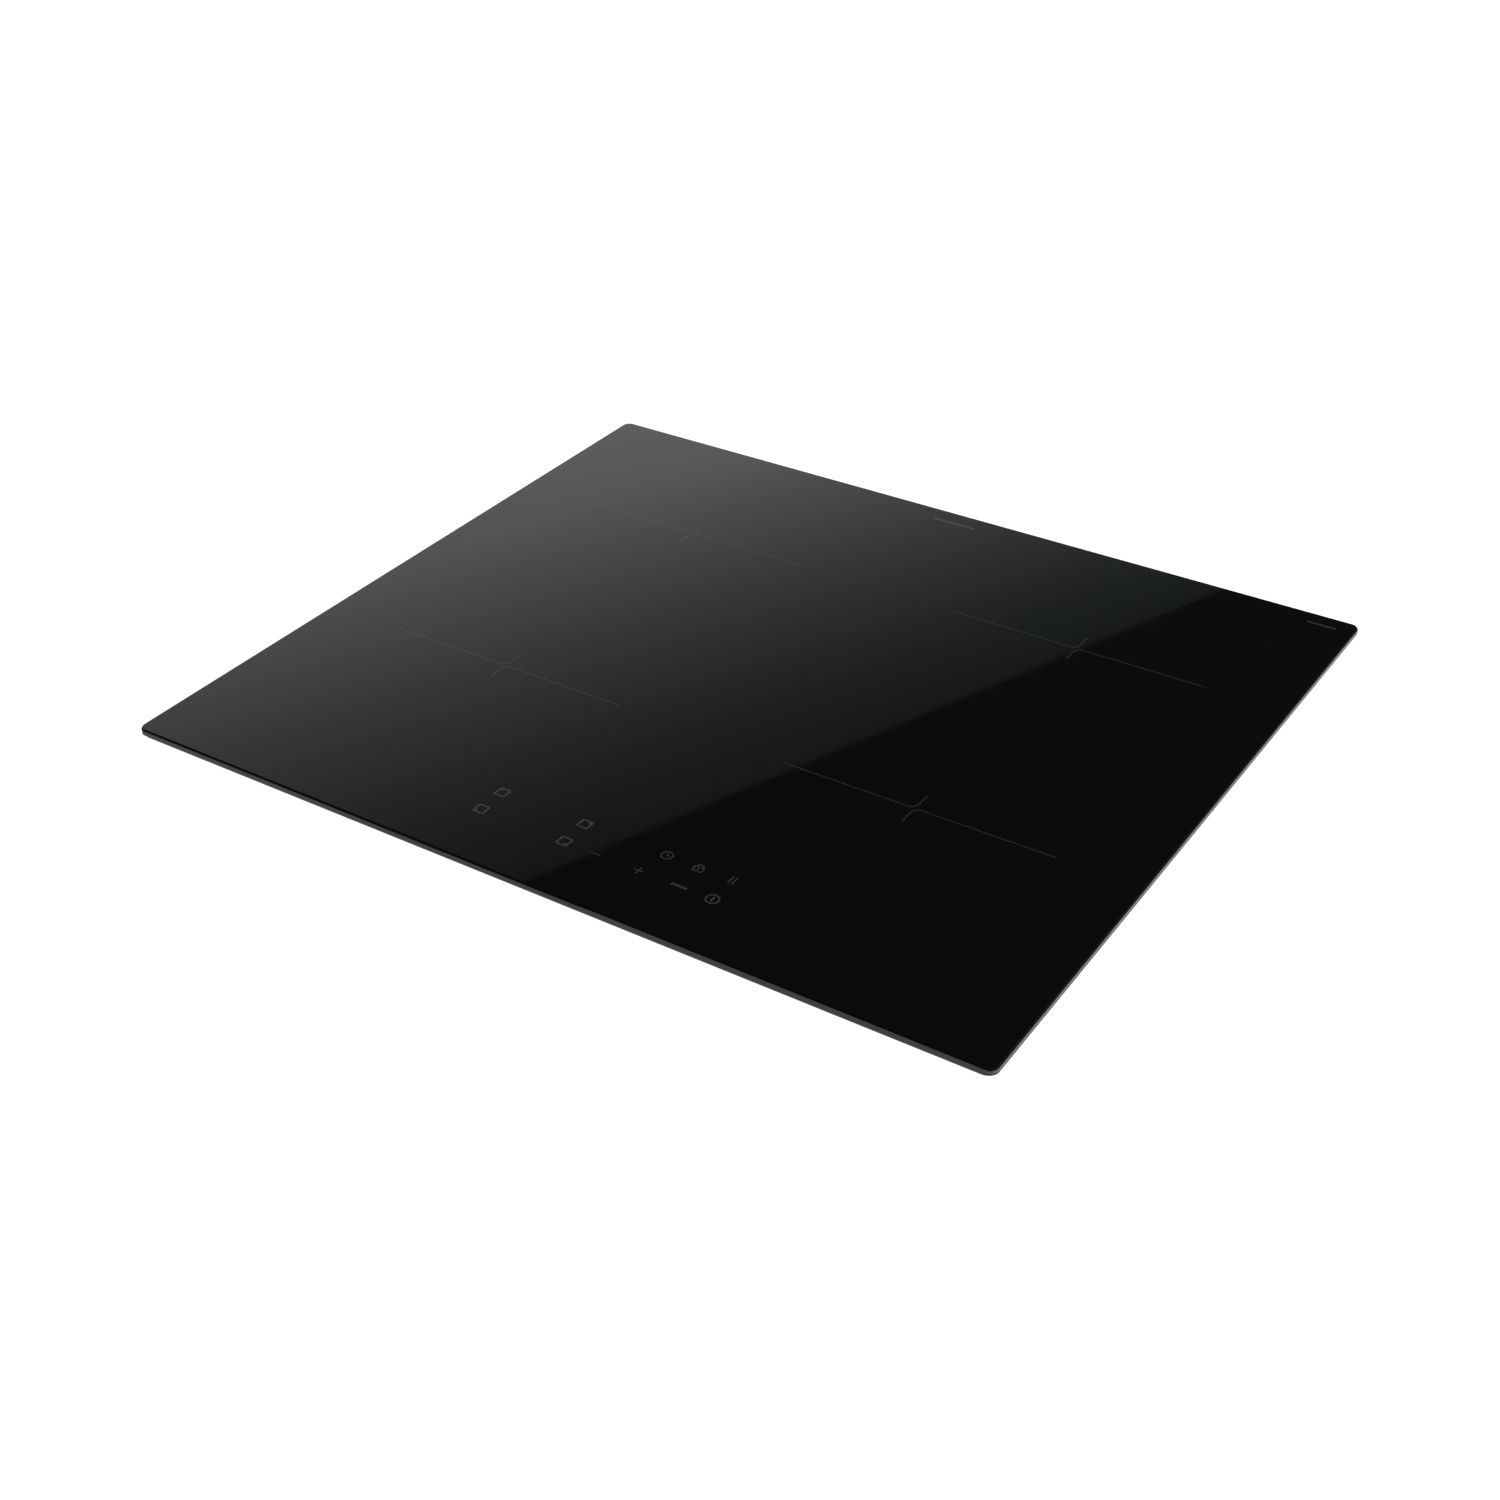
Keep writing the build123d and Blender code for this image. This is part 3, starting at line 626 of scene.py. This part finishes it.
def zone_key(bm, x, y, corner, line, z):
    """Rounded square with one corner filled, to name a cooking zone."""
    side, line = 8 * MM, line * 1.2
    clear = side - 2 * line
    outer = moved(rounded_loop(side, side, 1.4 * MM, 6), x, y)
    inner = moved(rounded_loop(clear, clear, 0.6 * MM, 6), x, y)
    ring(bm, outer, inner, z[0], z[1])
    sx, sy = corner
    far = side / 2 - line * 0.8
    near = far - 3.0 * MM
    wedge = [(sx * far, sy * far), (sx * near, sy * far), (sx * far, sy * near)]
    if sx * sy < 0:
        wedge.reverse()
    prism(bm, moved(wedge, x, y), z[0], z[1])


def timer_key(bm, x, y, line, z):
    """Clock face with two hands."""
    hoop(bm, x, y, 3.8 * MM, line * 0.8, z)
    bar(bm, x, y + 0.9 * MM, 0.7 * MM, 2.2 * MM, z)
    bar(bm, x + 1.2 * MM, y - 0.2 * MM, 1.6 * MM, 0.7 * MM, z)


def lock_key(bm, x, y, line, z):
    """Padlock: a body with a keyhole, under a shackle."""
    width, height, middle = 6.6 * MM, 4.6 * MM, y - 1.3 * MM
    outer = moved(rounded_loop(width, height, 0.7 * MM, 4), x, middle)
    inner = moved(rounded_loop(width - 1.5 * line, height - 1.5 * line, 0.3 * MM, 4), x, middle)
    ring(bm, outer, inner, z[0], z[1])
    bar(bm, x, middle, 0.9 * MM, 1.8 * MM, z)
    arc_band(bm, x, y + 1.1 * MM, 2.0 * MM, line, 0, 180, z)


def power_key(bm, x, y, line, z):
    """Bar in a circle."""
    hoop(bm, x, y, 4.35 * MM, line * 1.1, z)
    bar(bm, x, y, 1.1 * MM, 4.6 * MM, z)


# Symbols of bars alone. All sizes here are millimetres: middle, width and height of each bar
MINUS = ((0, 0, 6.2, 0.6),)
PLUS = ((0, 0, 6.2, 0.65), (0, 1.7125, 0.65, 2.775), (0, -1.7125, 0.65, 2.775))
PAUSE = ((-1.3, 0, 0.55, 6.6), (1.3, 0, 0.55, 6.6))
# Plain row of blocks in place of a worded key
BLOCKS = tuple((2.15 * i, 0, 1.7, 2.2) for i in range(-2, 3))
# Place of each symbol, and the corner it fills, its bars, or what draws it
ZONE_KEYS = (
    (-62.0, -195.7, (-1, 1)), (-62.0, -215.7, (-1, -1)), (-2.0, -195.7, (1, 1)), (-2.0, -215.7, (1, -1)),
)
BAR_KEYS = (
    (20.0, -216.0, MINUS), (49.7, -216.0, PLUS), (99.0, -196.0, PAUSE), (76.7, -216.0, BLOCKS),
)
DRAWN_KEYS = ((55.0, -195.7, timer_key), (77.0, -196.0, lock_key), (99.0, -216.0, power_key))


def symbol_enamel():
    """The lighter enamel of the touch symbols."""
    return ceramic_enamel_print("ceramic_enamel_light", bpy.context.scene.cooktop_print.symbol_colour)


def print_span():
    """Bottom and top of the enamel film."""
    settings = bpy.context.scene.cooktop_print
    return glass_top() - 0.01 * MM, glass_top() + settings.height


class COOKTOP_OT_symbols(bpy.types.Operator):
    """Print the touch symbols at the front edge"""

    bl_idname = "cooktop.symbols"
    bl_label = "Touch symbols"

    def execute(self, context):
        line = context.scene.cooktop_print.symbol_line
        z = print_span()
        bm = bmesh.new()
        for x, y, corner in ZONE_KEYS:
            zone_key(bm, x * MM, y * MM, corner, line, z)
        for x, y, bars in BAR_KEYS:
            for dx, dy, width, height in bars:
                bar(bm, (x + dx) * MM, (y + dy) * MM, width * MM, height * MM, z)
        for x, y, draw_key in DRAWN_KEYS:
            draw_key(bm, x * MM, y * MM, line, z)
        piece = new_piece("touch_symbols", mesh_from(bm, "touch_symbols"), symbol_enamel())
        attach(piece, "housing")
        return {"FINISHED"}


class COOKTOP_OT_plain_marks(bpy.types.Operator):
    """Print two plain bars at the rear edge"""

    bl_idname = "cooktop.plain_marks"
    bl_label = "Plain rear marks"

    def execute(self, context):
        z = print_span()
        bm = bmesh.new()
        bar(bm, 0.3 * MM, 245 * MM, 33 * MM, 1.6 * MM, z)
        bar(bm, 272.5 * MM, 247 * MM, 20 * MM, 1.3 * MM, z)
        piece = new_piece("plain_rear_marks", mesh_from(bm, "plain_rear_marks"), symbol_enamel())
        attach(piece, "housing")
        return {"FINISHED"}


# -------- geometry nodes


def new_tree(name, sockets):
    """Geometry Nodes tree with named inputs. sockets: name, type, default."""
    tree = bpy.data.node_groups.new(name, "GeometryNodeTree")
    tree.interface.new_socket("Geometry", in_out="INPUT", socket_type="NodeSocketGeometry")
    tree.interface.new_socket("Geometry", in_out="OUTPUT", socket_type="NodeSocketGeometry")
    for label, kind, default in sockets:
        made = tree.interface.new_socket(label, in_out="INPUT", socket_type="NodeSocket" + kind)
        if default is not None:
            made.default_value = default
    return tree, add_node(tree, "NodeGroupInput").outputs


def close_tree(tree, geometry, material):
    """Realize Instances, Set Material and the output."""
    real = add_node(tree, "GeometryNodeRealizeInstances", {"Geometry": geometry})
    painted = add_node(tree, "GeometryNodeSetMaterial", {"Geometry": real.outputs[0], "Material": material})
    add_node(tree, "NodeGroupOutput", {"Geometry": painted.outputs[0]})


def sweep(tree, curve, section):
    """Closed solid of a section along a curve."""
    return add_node(tree, "GeometryNodeCurveToMesh", {
        "Curve": curve, "Profile Curve": section, "Fill Caps": True}).outputs[0]


def grow(name, host_mesh, tree, values):
    """Runs a tree on a host mesh and returns the result as a plain piece."""
    host = bpy.data.objects.new(name + "_host", host_mesh)
    bpy.context.scene.collection.objects.link(host)
    modifier = host.modifiers.new("nodes", "NODES")
    modifier.node_group = tree
    for item in tree.interface.items_tree:
        if item.item_type == "SOCKET" and item.in_out == "INPUT" and item.name in values:
            modifier[item.identifier] = values[item.name]
    bpy.context.view_layer.update()
    shown = host.evaluated_get(bpy.context.evaluated_depsgraph_get())
    mesh = bpy.data.meshes.new_from_object(shown)
    mesh.name = name
    bpy.data.objects.remove(host)
    if not mesh.polygons:
        raise RuntimeError(name + ": the tree made no faces")
    return new_piece(name, mesh)


def zone_mark_tree():
    """A mark is one filleted stroke and the same stroke turned half round, set on each zone's centre."""
    tree, given = new_tree("zone_marks", (
        ("Arm", "Float", 0.09), ("Stub", "Float", 0.0153), ("Fillet", "Float", 0.0046),
        ("Line", "Float", 0.0006), ("Height", "Float", 0.00006), ("Material", "Material", None)))
    arm_end = add_node(tree, "ShaderNodeCombineXYZ", {"X": calc(tree, "MULTIPLY", given["Arm"], -1.0)})
    stub_end = add_node(tree, "ShaderNodeCombineXYZ", {"Y": given["Stub"]})
    where = add_node(tree, "GeometryNodeIndexSwitch", data_type="VECTOR")
    where.index_switch_items.new()
    tree.links.new(add_node(tree, "GeometryNodeInputIndex").outputs[0], where.inputs["Index"])
    tree.links.new(arm_end.outputs[0], where.inputs[1])
    tree.links.new(stub_end.outputs[0], where.inputs[3])
    path = add_node(tree, "GeometryNodeMeshLine", {"Count": 3})
    bent = add_node(tree, "GeometryNodeSetPosition", {
        "Geometry": path.outputs[0], "Position": where.outputs[0]})
    curve = add_node(tree, "GeometryNodeMeshToCurve", {"Mesh": bent.outputs[0]})
    rounded = add_node(tree, "GeometryNodeFilletCurve", {
        "Curve": curve.outputs[0], "Count": 10, "Radius": given["Fillet"]}, mode="POLY")
    section = add_node(tree, "GeometryNodeCurvePrimitiveQuadrilateral", {
        "Width": given["Line"], "Height": given["Height"]})
    stroke = sweep(tree, rounded.outputs[0], section.outputs[0])
    # The layer of print is flat topped, so no face is shaded smooth
    flat = add_node(tree, "GeometryNodeSetShadeSmooth", {"Geometry": stroke, "Shade Smooth": False})
    other = add_node(tree, "GeometryNodeTransform", {
        "Geometry": flat.outputs[0], "Rotation": (0, 0, math.pi)})
    mark = add_node(tree, "GeometryNodeJoinGeometry")
    tree.links.new(flat.outputs[0], mark.inputs[0])
    tree.links.new(other.outputs[0], mark.inputs[0])
    placed = add_node(tree, "GeometryNodeInstanceOnPoints", {
        "Points": given["Geometry"], "Instance": mark.outputs[0]})
    close_tree(tree, placed.outputs[0], given["Material"])
    return tree


class COOKTOP_OT_zone_marks(bpy.types.Operator):
    """Print the mark of each cooking zone over its coil"""

    bl_idname = "cooktop.zone_marks"
    bl_label = "Zone marks"

    def execute(self, context):
        settings = context.scene.cooktop_print
        low, high = print_span()
        points = bpy.data.meshes.new("zone_centres")
        spots = [centre_of("mica_disc_" + zone) for zone in ZONES]
        dx, dy = settings.shift
        points.from_pydata([(p.x + dx, p.y + dy, (low + high) / 2) for p in spots], [], [])
        ink = ceramic_enamel_print("ceramic_enamel_dark", settings.mark_colour)
        piece = grow("zone_marks", points, zone_mark_tree(), {
            "Arm": settings.arm, "Stub": settings.stub, "Fillet": settings.fillet, "Line": settings.line,
            "Height": high - low, "Material": ink})
        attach(piece, "housing")
        return {"FINISHED"}


# Spacing of the sections along the rope, radius of the valleys between its bundles as a share of the rope's,
# and radius of its two ends
LITZ_STEP = 2.5 * MM
LITZ_VALLEY = 0.86
LITZ_TAIL = 1.6 * MM


def litz_tree():
    """Flat spiral of twisted litz rope, and the two ends that drop to the board."""
    tree, given = new_tree("litz_winding", (
        ("Turns", "Float", 14.0), ("Inner", "Float", 0.02235), ("Outer", "Float", 0.08815),
        ("Rope", "Float", 0.0023), ("Bundles", "Int", 7), ("Lay", "Float", 0.04),
        ("Centre", "Vector", None), ("Inner End", "Vector", None), ("Outer End", "Vector", None),
        ("Drop", "Float", 0.022), ("Material", "Material", None)))
    flat = add_node(tree, "GeometryNodeCurveSpiral", {
        "Resolution": 90, "Rotations": given["Turns"], "Start Radius": given["Inner"],
        "End Radius": given["Outer"], "Height": 0.0})
    even = add_node(tree, "GeometryNodeResampleCurve", {
        "Curve": flat.outputs[0], "Length": LITZ_STEP}, mode="LENGTH")
    # The bundles turn once round the rope in each lay length
    along = add_node(tree, "GeometryNodeSplineParameter").outputs["Length"]
    angle = calc(tree, "MULTIPLY", calc(tree, "DIVIDE", along, given["Lay"]), math.tau)
    twisted = add_node(tree, "GeometryNodeSetCurveTilt", {"Curve": even.outputs[0], "Tilt": angle})
    valley = calc(tree, "MULTIPLY", given["Rope"], LITZ_VALLEY)
    section = add_node(tree, "GeometryNodeCurveStar", {
        "Points": given["Bundles"], "Inner Radius": valley, "Outer Radius": given["Rope"]})
    rope = sweep(tree, twisted.outputs[0], section.outputs[0])
    lifted = add_node(tree, "GeometryNodeTransform", {"Geometry": rope, "Translation": given["Centre"]})
    every = add_node(tree, "GeometryNodeJoinGeometry")
    tree.links.new(lifted.outputs[0], every.inputs[0])
    down = add_node(tree, "ShaderNodeCombineXYZ", {"Z": calc(tree, "MULTIPLY", given["Drop"], -1.0)})
    thick = add_node(tree, "GeometryNodeCurvePrimitiveCircle", {"Resolution": 12, "Radius": LITZ_TAIL})
    for end in ("Inner End", "Outer End"):
        foot = add_node(tree, "ShaderNodeVectorMath", {0: given[end], 1: down.outputs[0]}, operation="ADD")
        line = add_node(tree, "GeometryNodeCurvePrimitiveLine", {
            "Start": given[end], "End": foot.outputs[0]})
        tree.links.new(sweep(tree, line.outputs[0], thick.outputs[0]), every.inputs[0])
    close_tree(tree, every.outputs[0], given["Material"])
    return tree


def spring_tree():
    """Helical springs on a circle round a zone's centre."""
    tree, given = new_tree("coil_springs", (
        ("Centre", "Vector", None), ("Springs", "Int", 3), ("Place", "Float", 0.074),
        ("Radius", "Float", 0.005), ("Wire", "Float", 0.0006), ("Turns", "Float", 4.0),
        ("Length", "Float", 0.0098), ("Material", "Material", None)))
    wire = add_node(tree, "GeometryNodeCurvePrimitiveCircle", {"Resolution": 8, "Radius": given["Wire"]})
    helix = add_node(tree, "GeometryNodeCurveSpiral", {
        "Resolution": 28, "Rotations": given["Turns"], "Start Radius": given["Radius"],
        "End Radius": given["Radius"], "Height": given["Length"]})
    spring = sweep(tree, helix.outputs[0], wire.outputs[0])
    spots = add_node(tree, "GeometryNodeMeshCircle", {
        "Vertices": given["Springs"], "Radius": given["Place"]})
    seats = add_node(tree, "GeometryNodeTransform", {
        "Geometry": spots.outputs[0], "Translation": given["Centre"]})
    placed = add_node(tree, "GeometryNodeInstanceOnPoints", {
        "Points": seats.outputs[0], "Instance": spring})
    close_tree(tree, placed.outputs[0], given["Material"])
    return tree


def empty_host(name):
    """Mesh with one point, for a tree that makes all its own geometry."""
    mesh = bpy.data.meshes.new(name)
    mesh.from_pydata([(0, 0, 0)], [], [])
    return mesh


# Depth of the winding's middle under its top, of the tails' upper ends under that, and how far from the
# zone's centre the two tails stand
LITZ_DEPTH, TAIL_START = 2.5 * MM, 1 * MM
INNER_TAIL, OUTER_TAIL = 22 * MM, 88 * MM


class COOKTOP_OT_windings(bpy.types.Operator):
    """Wind the litz coil of each zone"""

    bl_idname = "cooktop.windings"
    bl_label = "Litz windings"

    def execute(self, context):
        settings = context.scene.cooktop_coils
        copper = enamelled_litz_copper()
        tree = litz_tree()
        for zone in ZONES:
            node = "litz_winding_" + zone
            low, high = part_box(node)
            centre = centre_of("mica_disc_" + zone)
            # The outer end drops on the side of the cooktop's middle, clear of the fans
            inward = -1 if centre.y > 0 else 1
            level = high.z - LITZ_DEPTH
            start = level - TAIL_START
            piece = grow("litz_spiral_" + zone, empty_host(node), tree, {
                "Turns": settings.turns, "Inner": settings.inner_radius, "Outer": settings.outer_radius,
                "Rope": settings.rope, "Bundles": settings.bundles, "Lay": settings.lay,
                "Centre": (centre.x, centre.y, level),
                "Inner End": (centre.x, centre.y - INNER_TAIL, start),
                "Outer End": (centre.x, centre.y + inward * OUTER_TAIL, start),
                "Drop": start - low.z, "Material": copper})
            piece.data.shade_smooth()
            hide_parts(node)
            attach(piece, "coil_" + zone)
        return {"FINISHED"}


class COOKTOP_OT_springs(bpy.types.Operator):
    """Make the springs that press each coil against the glass"""

    bl_idname = "cooktop.springs"
    bl_label = "Coil springs"

    def execute(self, context):
        settings = context.scene.cooktop_coils
        steel = plain("drawn_spring_wire")
        tree = spring_tree()
        for zone in ZONES:
            node = "coil_springs_" + zone
            low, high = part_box(node)
            centre = centre_of("mica_disc_" + zone)
            piece = grow("suspension_springs_" + zone, empty_host(node), tree, {
                "Centre": (centre.x, centre.y, low.z + settings.spring_wire), "Springs": settings.springs,
                "Place": settings.spring_place, "Radius": settings.spring_radius,
                "Wire": settings.spring_wire, "Turns": settings.spring_turns,
                "Length": high.z - low.z - 2 * settings.spring_wire, "Material": steel})
            piece.data.shade_smooth()
            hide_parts(node)
            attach(piece, "housing")
            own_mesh(piece)
        return {"FINISHED"}


# -------- CAD pieces


class Dresser:
    """What the operators that dress CAD pieces share."""

    finishes = {}

    def execute(self, context):
        dress(self.finishes)
        return {"FINISHED"}


class COOKTOP_OT_metalwork(Dresser, bpy.types.Operator):
    """Give the tray, deck, screws and clamps their metal finishes"""

    bl_idname = "cooktop.metalwork"
    bl_label = "Metalwork"
    finishes = SHEET_METAL


class COOKTOP_OT_electronics(Dresser, bpy.types.Operator):
    """Give the boards, components, heat sinks and leads their finishes"""

    bl_idname = "cooktop.electronics"
    bl_label = "Electronics"
    finishes = ELECTRONICS


class COOKTOP_OT_mouldings(Dresser, bpy.types.Operator):
    """Give the fans, holders, terminal box, gland and seals their finishes"""

    bl_idname = "cooktop.mouldings"
    bl_label = "Mouldings and seals"
    finishes = MOULDINGS


class COOKTOP_OT_coil_parts(Dresser, bpy.types.Operator):
    """Give the coil carriers, ferrites, mica and sensors their finishes"""

    bl_idname = "cooktop.coil_parts"
    bl_label = "Coil carriers and ferrites"
    finishes = COIL_PARTS


# -------- stage


def flat_mesh(name, corners):
    """One face through the given corners."""
    mesh = bpy.data.meshes.new(name)
    mesh.from_pydata(corners, [], [tuple(range(len(corners)))])
    return mesh


def stage_piece(name, mesh, material):
    """Piece of the stage, added with its material like any other piece."""
    piece = new_piece(name, mesh, material)
    return piece


def lit_white(name, base, glow, roughness):
    """Matt white surface that is lit from all round, so its shadows stay faint."""
    material = bpy.data.materials.new(name)
    material.use_nodes = True
    shader = material.node_tree.nodes["Principled BSDF"]
    shader.inputs["Base Color"].default_value = (base, base, base, 1)
    shader.inputs["Roughness"].default_value = roughness
    shader.inputs["Specular IOR Level"].default_value = 0.2
    shader.inputs["Emission Color"].default_value = (1, 1, 1, 1)
    shader.inputs["Emission Strength"].default_value = glow
    return material


def place_floor():
    """White floor under the housing, and a thin white worktop panel whose cut-out carries the seal."""
    low, high = CAD_BOX
    reach = 20.0
    floor = [(x * reach, y * reach, low[2]) for x, y in ((-1, -1), (1, -1), (1, 1), (-1, 1))]
    stage_piece("pale_floor", flat_mesh("pale_floor", floor), lit_white("white_paper", 0.25, 0.96, 1.0))
    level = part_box("worktop_seal")[0].z
    rim, cut, thick = 0.110, (0.560, 0.490), 0.0025
    outer = rounded_loop(high[0] - low[0] + 2 * rim, high[1] - low[1] + 2 * rim, 0.012, 6)
    bm = bmesh.new()
    ring(bm, outer, rounded_loop(cut[0], cut[1], 0.005, 6), level - thick, level)
    laminate = lit_white("white_laminate", 0.2, 0.98, 0.5)
    stage_piece("worktop_panel", mesh_from(bm, "worktop_panel"), laminate)


# The softbox hangs this high over the glass. From above, its straight edge runs through these two points
CARD_HEIGHT = 1.0
CARD_EDGE = (-0.869, 0.781), (-0.404, 1.999)
# Its light rises over this distance from the edge. In the glass that is 0.45 m, seen in the mirror image
CARD_FADE = 1.05813
# Its brightness at shares of that distance
CARD_STEPS = (
    (0.0, 0.085), (0.10, 0.124), (0.182, 0.174), (0.287, 0.252), (0.349, 0.304), (0.473, 0.422),
    (0.64, 0.61), (0.722, 0.71), (0.816, 0.82), (1.0, 0.88),
)


def lamp_card():
    """Large softbox over the left and rear, seen only in the glass. Its light falls off evenly to its
    straight edge and turns cooler there."""
    low, high = (Vector(point) for point in CARD_EDGE)
    along = (high - low).normalized()
    across = Vector((-along.y, along.x))
    start, end = low - along * 2.0, high + along * 2.0
    reach = across * 1.6
    mesh = flat_mesh("softbox", [(p.x, p.y, glass_top() + CARD_HEIGHT) for p in (
        start, end, end + reach, start + reach)])
    material = bpy.data.materials.new("softbox_light")
    material.use_nodes = True
    tree = material.node_tree
    tree.nodes.clear()
    place = add_node(tree, "ShaderNodeTexCoord").outputs["Object"]
    towards = add_node(tree, "ShaderNodeVectorMath", {
        0: place, 1: (across.x, across.y, 0)}, operation="DOT_PRODUCT")
    offset = low.dot(across)
    share = spread(tree, towards.outputs["Value"], 0.0, 1.0, offset, offset + CARD_FADE)
    ramp = add_node(tree, "ShaderNodeValToRGB", {"Fac": share})
    points = ramp.color_ramp.elements
    while len(points) < len(CARD_STEPS):
        points.new(0.5)
    for point, (position, value) in zip(points, CARD_STEPS):
        point.position = position
        cool = max(0.0, 1 - value / 0.35)
        point.color = (value * (1 - 0.18 * cool), value, value * (1 + 0.06 * cool), 1)
    light = add_node(tree, "ShaderNodeEmission", {"Color": ramp.outputs[0], "Strength": 1.0})
    add_node(tree, "ShaderNodeOutputMaterial", {"Surface": light.outputs[0]})
    card = stage_piece("softbox", mesh, material)
    card.visible_camera = False
    card.visible_diffuse = False
    card.visible_shadow = False
    card.visible_transmission = False


def area_light(name, place, target, size, power):
    """Soft oblong white light aimed at a point, hidden from the camera."""
    data = bpy.data.lights.new(name, "AREA")
    data.shape = "RECTANGLE"
    data.size, data.size_y = size
    data.energy = power
    light = bpy.data.objects.new(name, data)
    bpy.context.scene.collection.objects.link(light)
    light.location = place
    light.rotation_euler = (Vector(target) - Vector(place)).to_track_quat("-Z", "Y").to_euler()
    light.visible_camera = False
    return light


def studio_world():
    """White to the camera, soft grey as fill, nearly black in the glass above a pale horizon."""
    world = bpy.data.worlds.new("studio")
    bpy.context.scene.world = world
    world.use_nodes = True
    tree = world.node_tree
    tree.nodes.clear()
    path = add_node(tree, "ShaderNodeLightPath")
    place = add_node(tree, "ShaderNodeTexCoord")
    height = add_node(tree, "ShaderNodeSeparateXYZ", {"Vector": place.outputs["Generated"]})
    sky = add_node(tree, "ShaderNodeValToRGB", {"Fac": height.outputs["Z"]})
    points = sky.color_ramp.elements
    points[0].position, points[0].color = 0.02, (0.26, 0.26, 0.26, 1)
    points[1].position, points[1].color = 0.34, (0.016, 0.021, 0.020, 1)
    middle = points.new(0.12)
    middle.color = (0.07, 0.073, 0.073, 1)
    glossy = add_node(tree, "ShaderNodeMix", {
        "Factor": path.outputs["Is Glossy Ray"], "A": (0.55, 0.55, 0.55, 1), "B": sky.outputs[0]},
        data_type="RGBA")
    seen = add_node(tree, "ShaderNodeMix", {
        "Factor": path.outputs["Is Camera Ray"], "A": glossy.outputs["Result"], "B": (1, 1, 1, 1)},
        data_type="RGBA")
    background = add_node(tree, "ShaderNodeBackground", {
        "Color": seen.outputs["Result"], "Strength": 1.0})
    add_node(tree, "ShaderNodeOutputWorld", {"Surface": background.outputs[0]})


def place_camera():
    """Camera to the front right, looking down at 33 degrees."""
    azimuth, elevation, roll = math.radians(32.81), math.radians(33.29), math.radians(-0.25)
    back = Vector((math.sin(azimuth) * math.cos(elevation), -math.cos(azimuth) * math.cos(elevation),
                   math.sin(elevation)))
    level = Vector((math.cos(azimuth), math.sin(azimuth), 0))
    right = math.cos(roll) * level + math.sin(roll) * back.cross(level)
    up = back.cross(right)
    data = bpy.data.cameras.new("camera")
    data.lens = bpy.context.scene.cooktop_stage.lens
    data.sensor_width = 36.0
    data.clip_start, data.clip_end = 0.05, 100.0
    camera = bpy.data.objects.new("camera", data)
    bpy.context.scene.collection.objects.link(camera)
    camera.matrix_world = Matrix.Translation((0.6468, -1.0271, glass_top() + 0.7400)) @ Matrix(
        (right, up, back)).transposed().to_4x4()
    bpy.context.scene.camera = camera


class COOKTOP_OT_stage(bpy.types.Operator):
    """Set the floor, the white panel, the lights and the camera"""

    bl_idname = "cooktop.stage"
    bl_label = "Stage"

    def execute(self, context):
        settings = context.scene.cooktop_stage
        place_floor()
        lamp_card()
        studio_world()
        key = area_light("key_right", (2.4, 0.2, 0.27), (0.3, 0.0, 0.05), (1.6, 0.34),
                         settings.key_power)
        key.visible_glossy = False
        area_light("fill_front", (-0.3, -2.4, 0.9), (0.0, -0.26, 0.05), (1.8, 0.8),
                   settings.fill_power)
        context.scene.view_settings.view_transform = "Standard"
        place_camera()
        return {"FINISHED"}


# -------- add-on


class COOKTOP_PT_panel(bpy.types.Panel):
    """Lists the builders and their sizes in the sidebar"""

    bl_idname = "COOKTOP_PT_panel"
    bl_label = "Induction Cooktop"
    bl_space_type = "VIEW_3D"
    bl_region_type = "UI"
    bl_category = "Cooktop"

    def draw(self, context):
        for group in (context.scene.cooktop_glass, context.scene.cooktop_print,
                      context.scene.cooktop_coils, context.scene.cooktop_stage):
            box = self.layout.box()
            for name in group.__annotations__:
                box.prop(group, name)
        for operator in OPERATORS:
            self.layout.operator(operator.bl_idname)


GROUPS = {
    "cooktop_glass": CooktopGlass,
    "cooktop_print": CooktopPrint,
    "cooktop_coils": CooktopCoils,
    "cooktop_stage": CooktopStage,
}
OPERATORS = (
    COOKTOP_OT_glass,
    COOKTOP_OT_seal,
    COOKTOP_OT_zone_marks,
    COOKTOP_OT_symbols,
    COOKTOP_OT_plain_marks,
    COOKTOP_OT_windings,
    COOKTOP_OT_springs,
    COOKTOP_OT_metalwork,
    COOKTOP_OT_electronics,
    COOKTOP_OT_mouldings,
    COOKTOP_OT_coil_parts,
    COOKTOP_OT_stage,
)


def register():
    for name, group in GROUPS.items():
        bpy.utils.register_class(group)
        setattr(bpy.types.Scene, name, PointerProperty(type=group))
    for operator in OPERATORS:
        bpy.utils.register_class(operator)
    bpy.utils.register_class(COOKTOP_PT_panel)


def unregister():
    bpy.utils.unregister_class(COOKTOP_PT_panel)
    for operator in reversed(OPERATORS):
        bpy.utils.unregister_class(operator)
    for name, group in reversed(list(GROUPS.items())):
        delattr(bpy.types.Scene, name)
        bpy.utils.unregister_class(group)


def main():
    register()
    for operator in OPERATORS:
        family, action = operator.bl_idname.split(".")
        getattr(getattr(bpy.ops, family), action)()


if __name__ == "__main__":
    main()
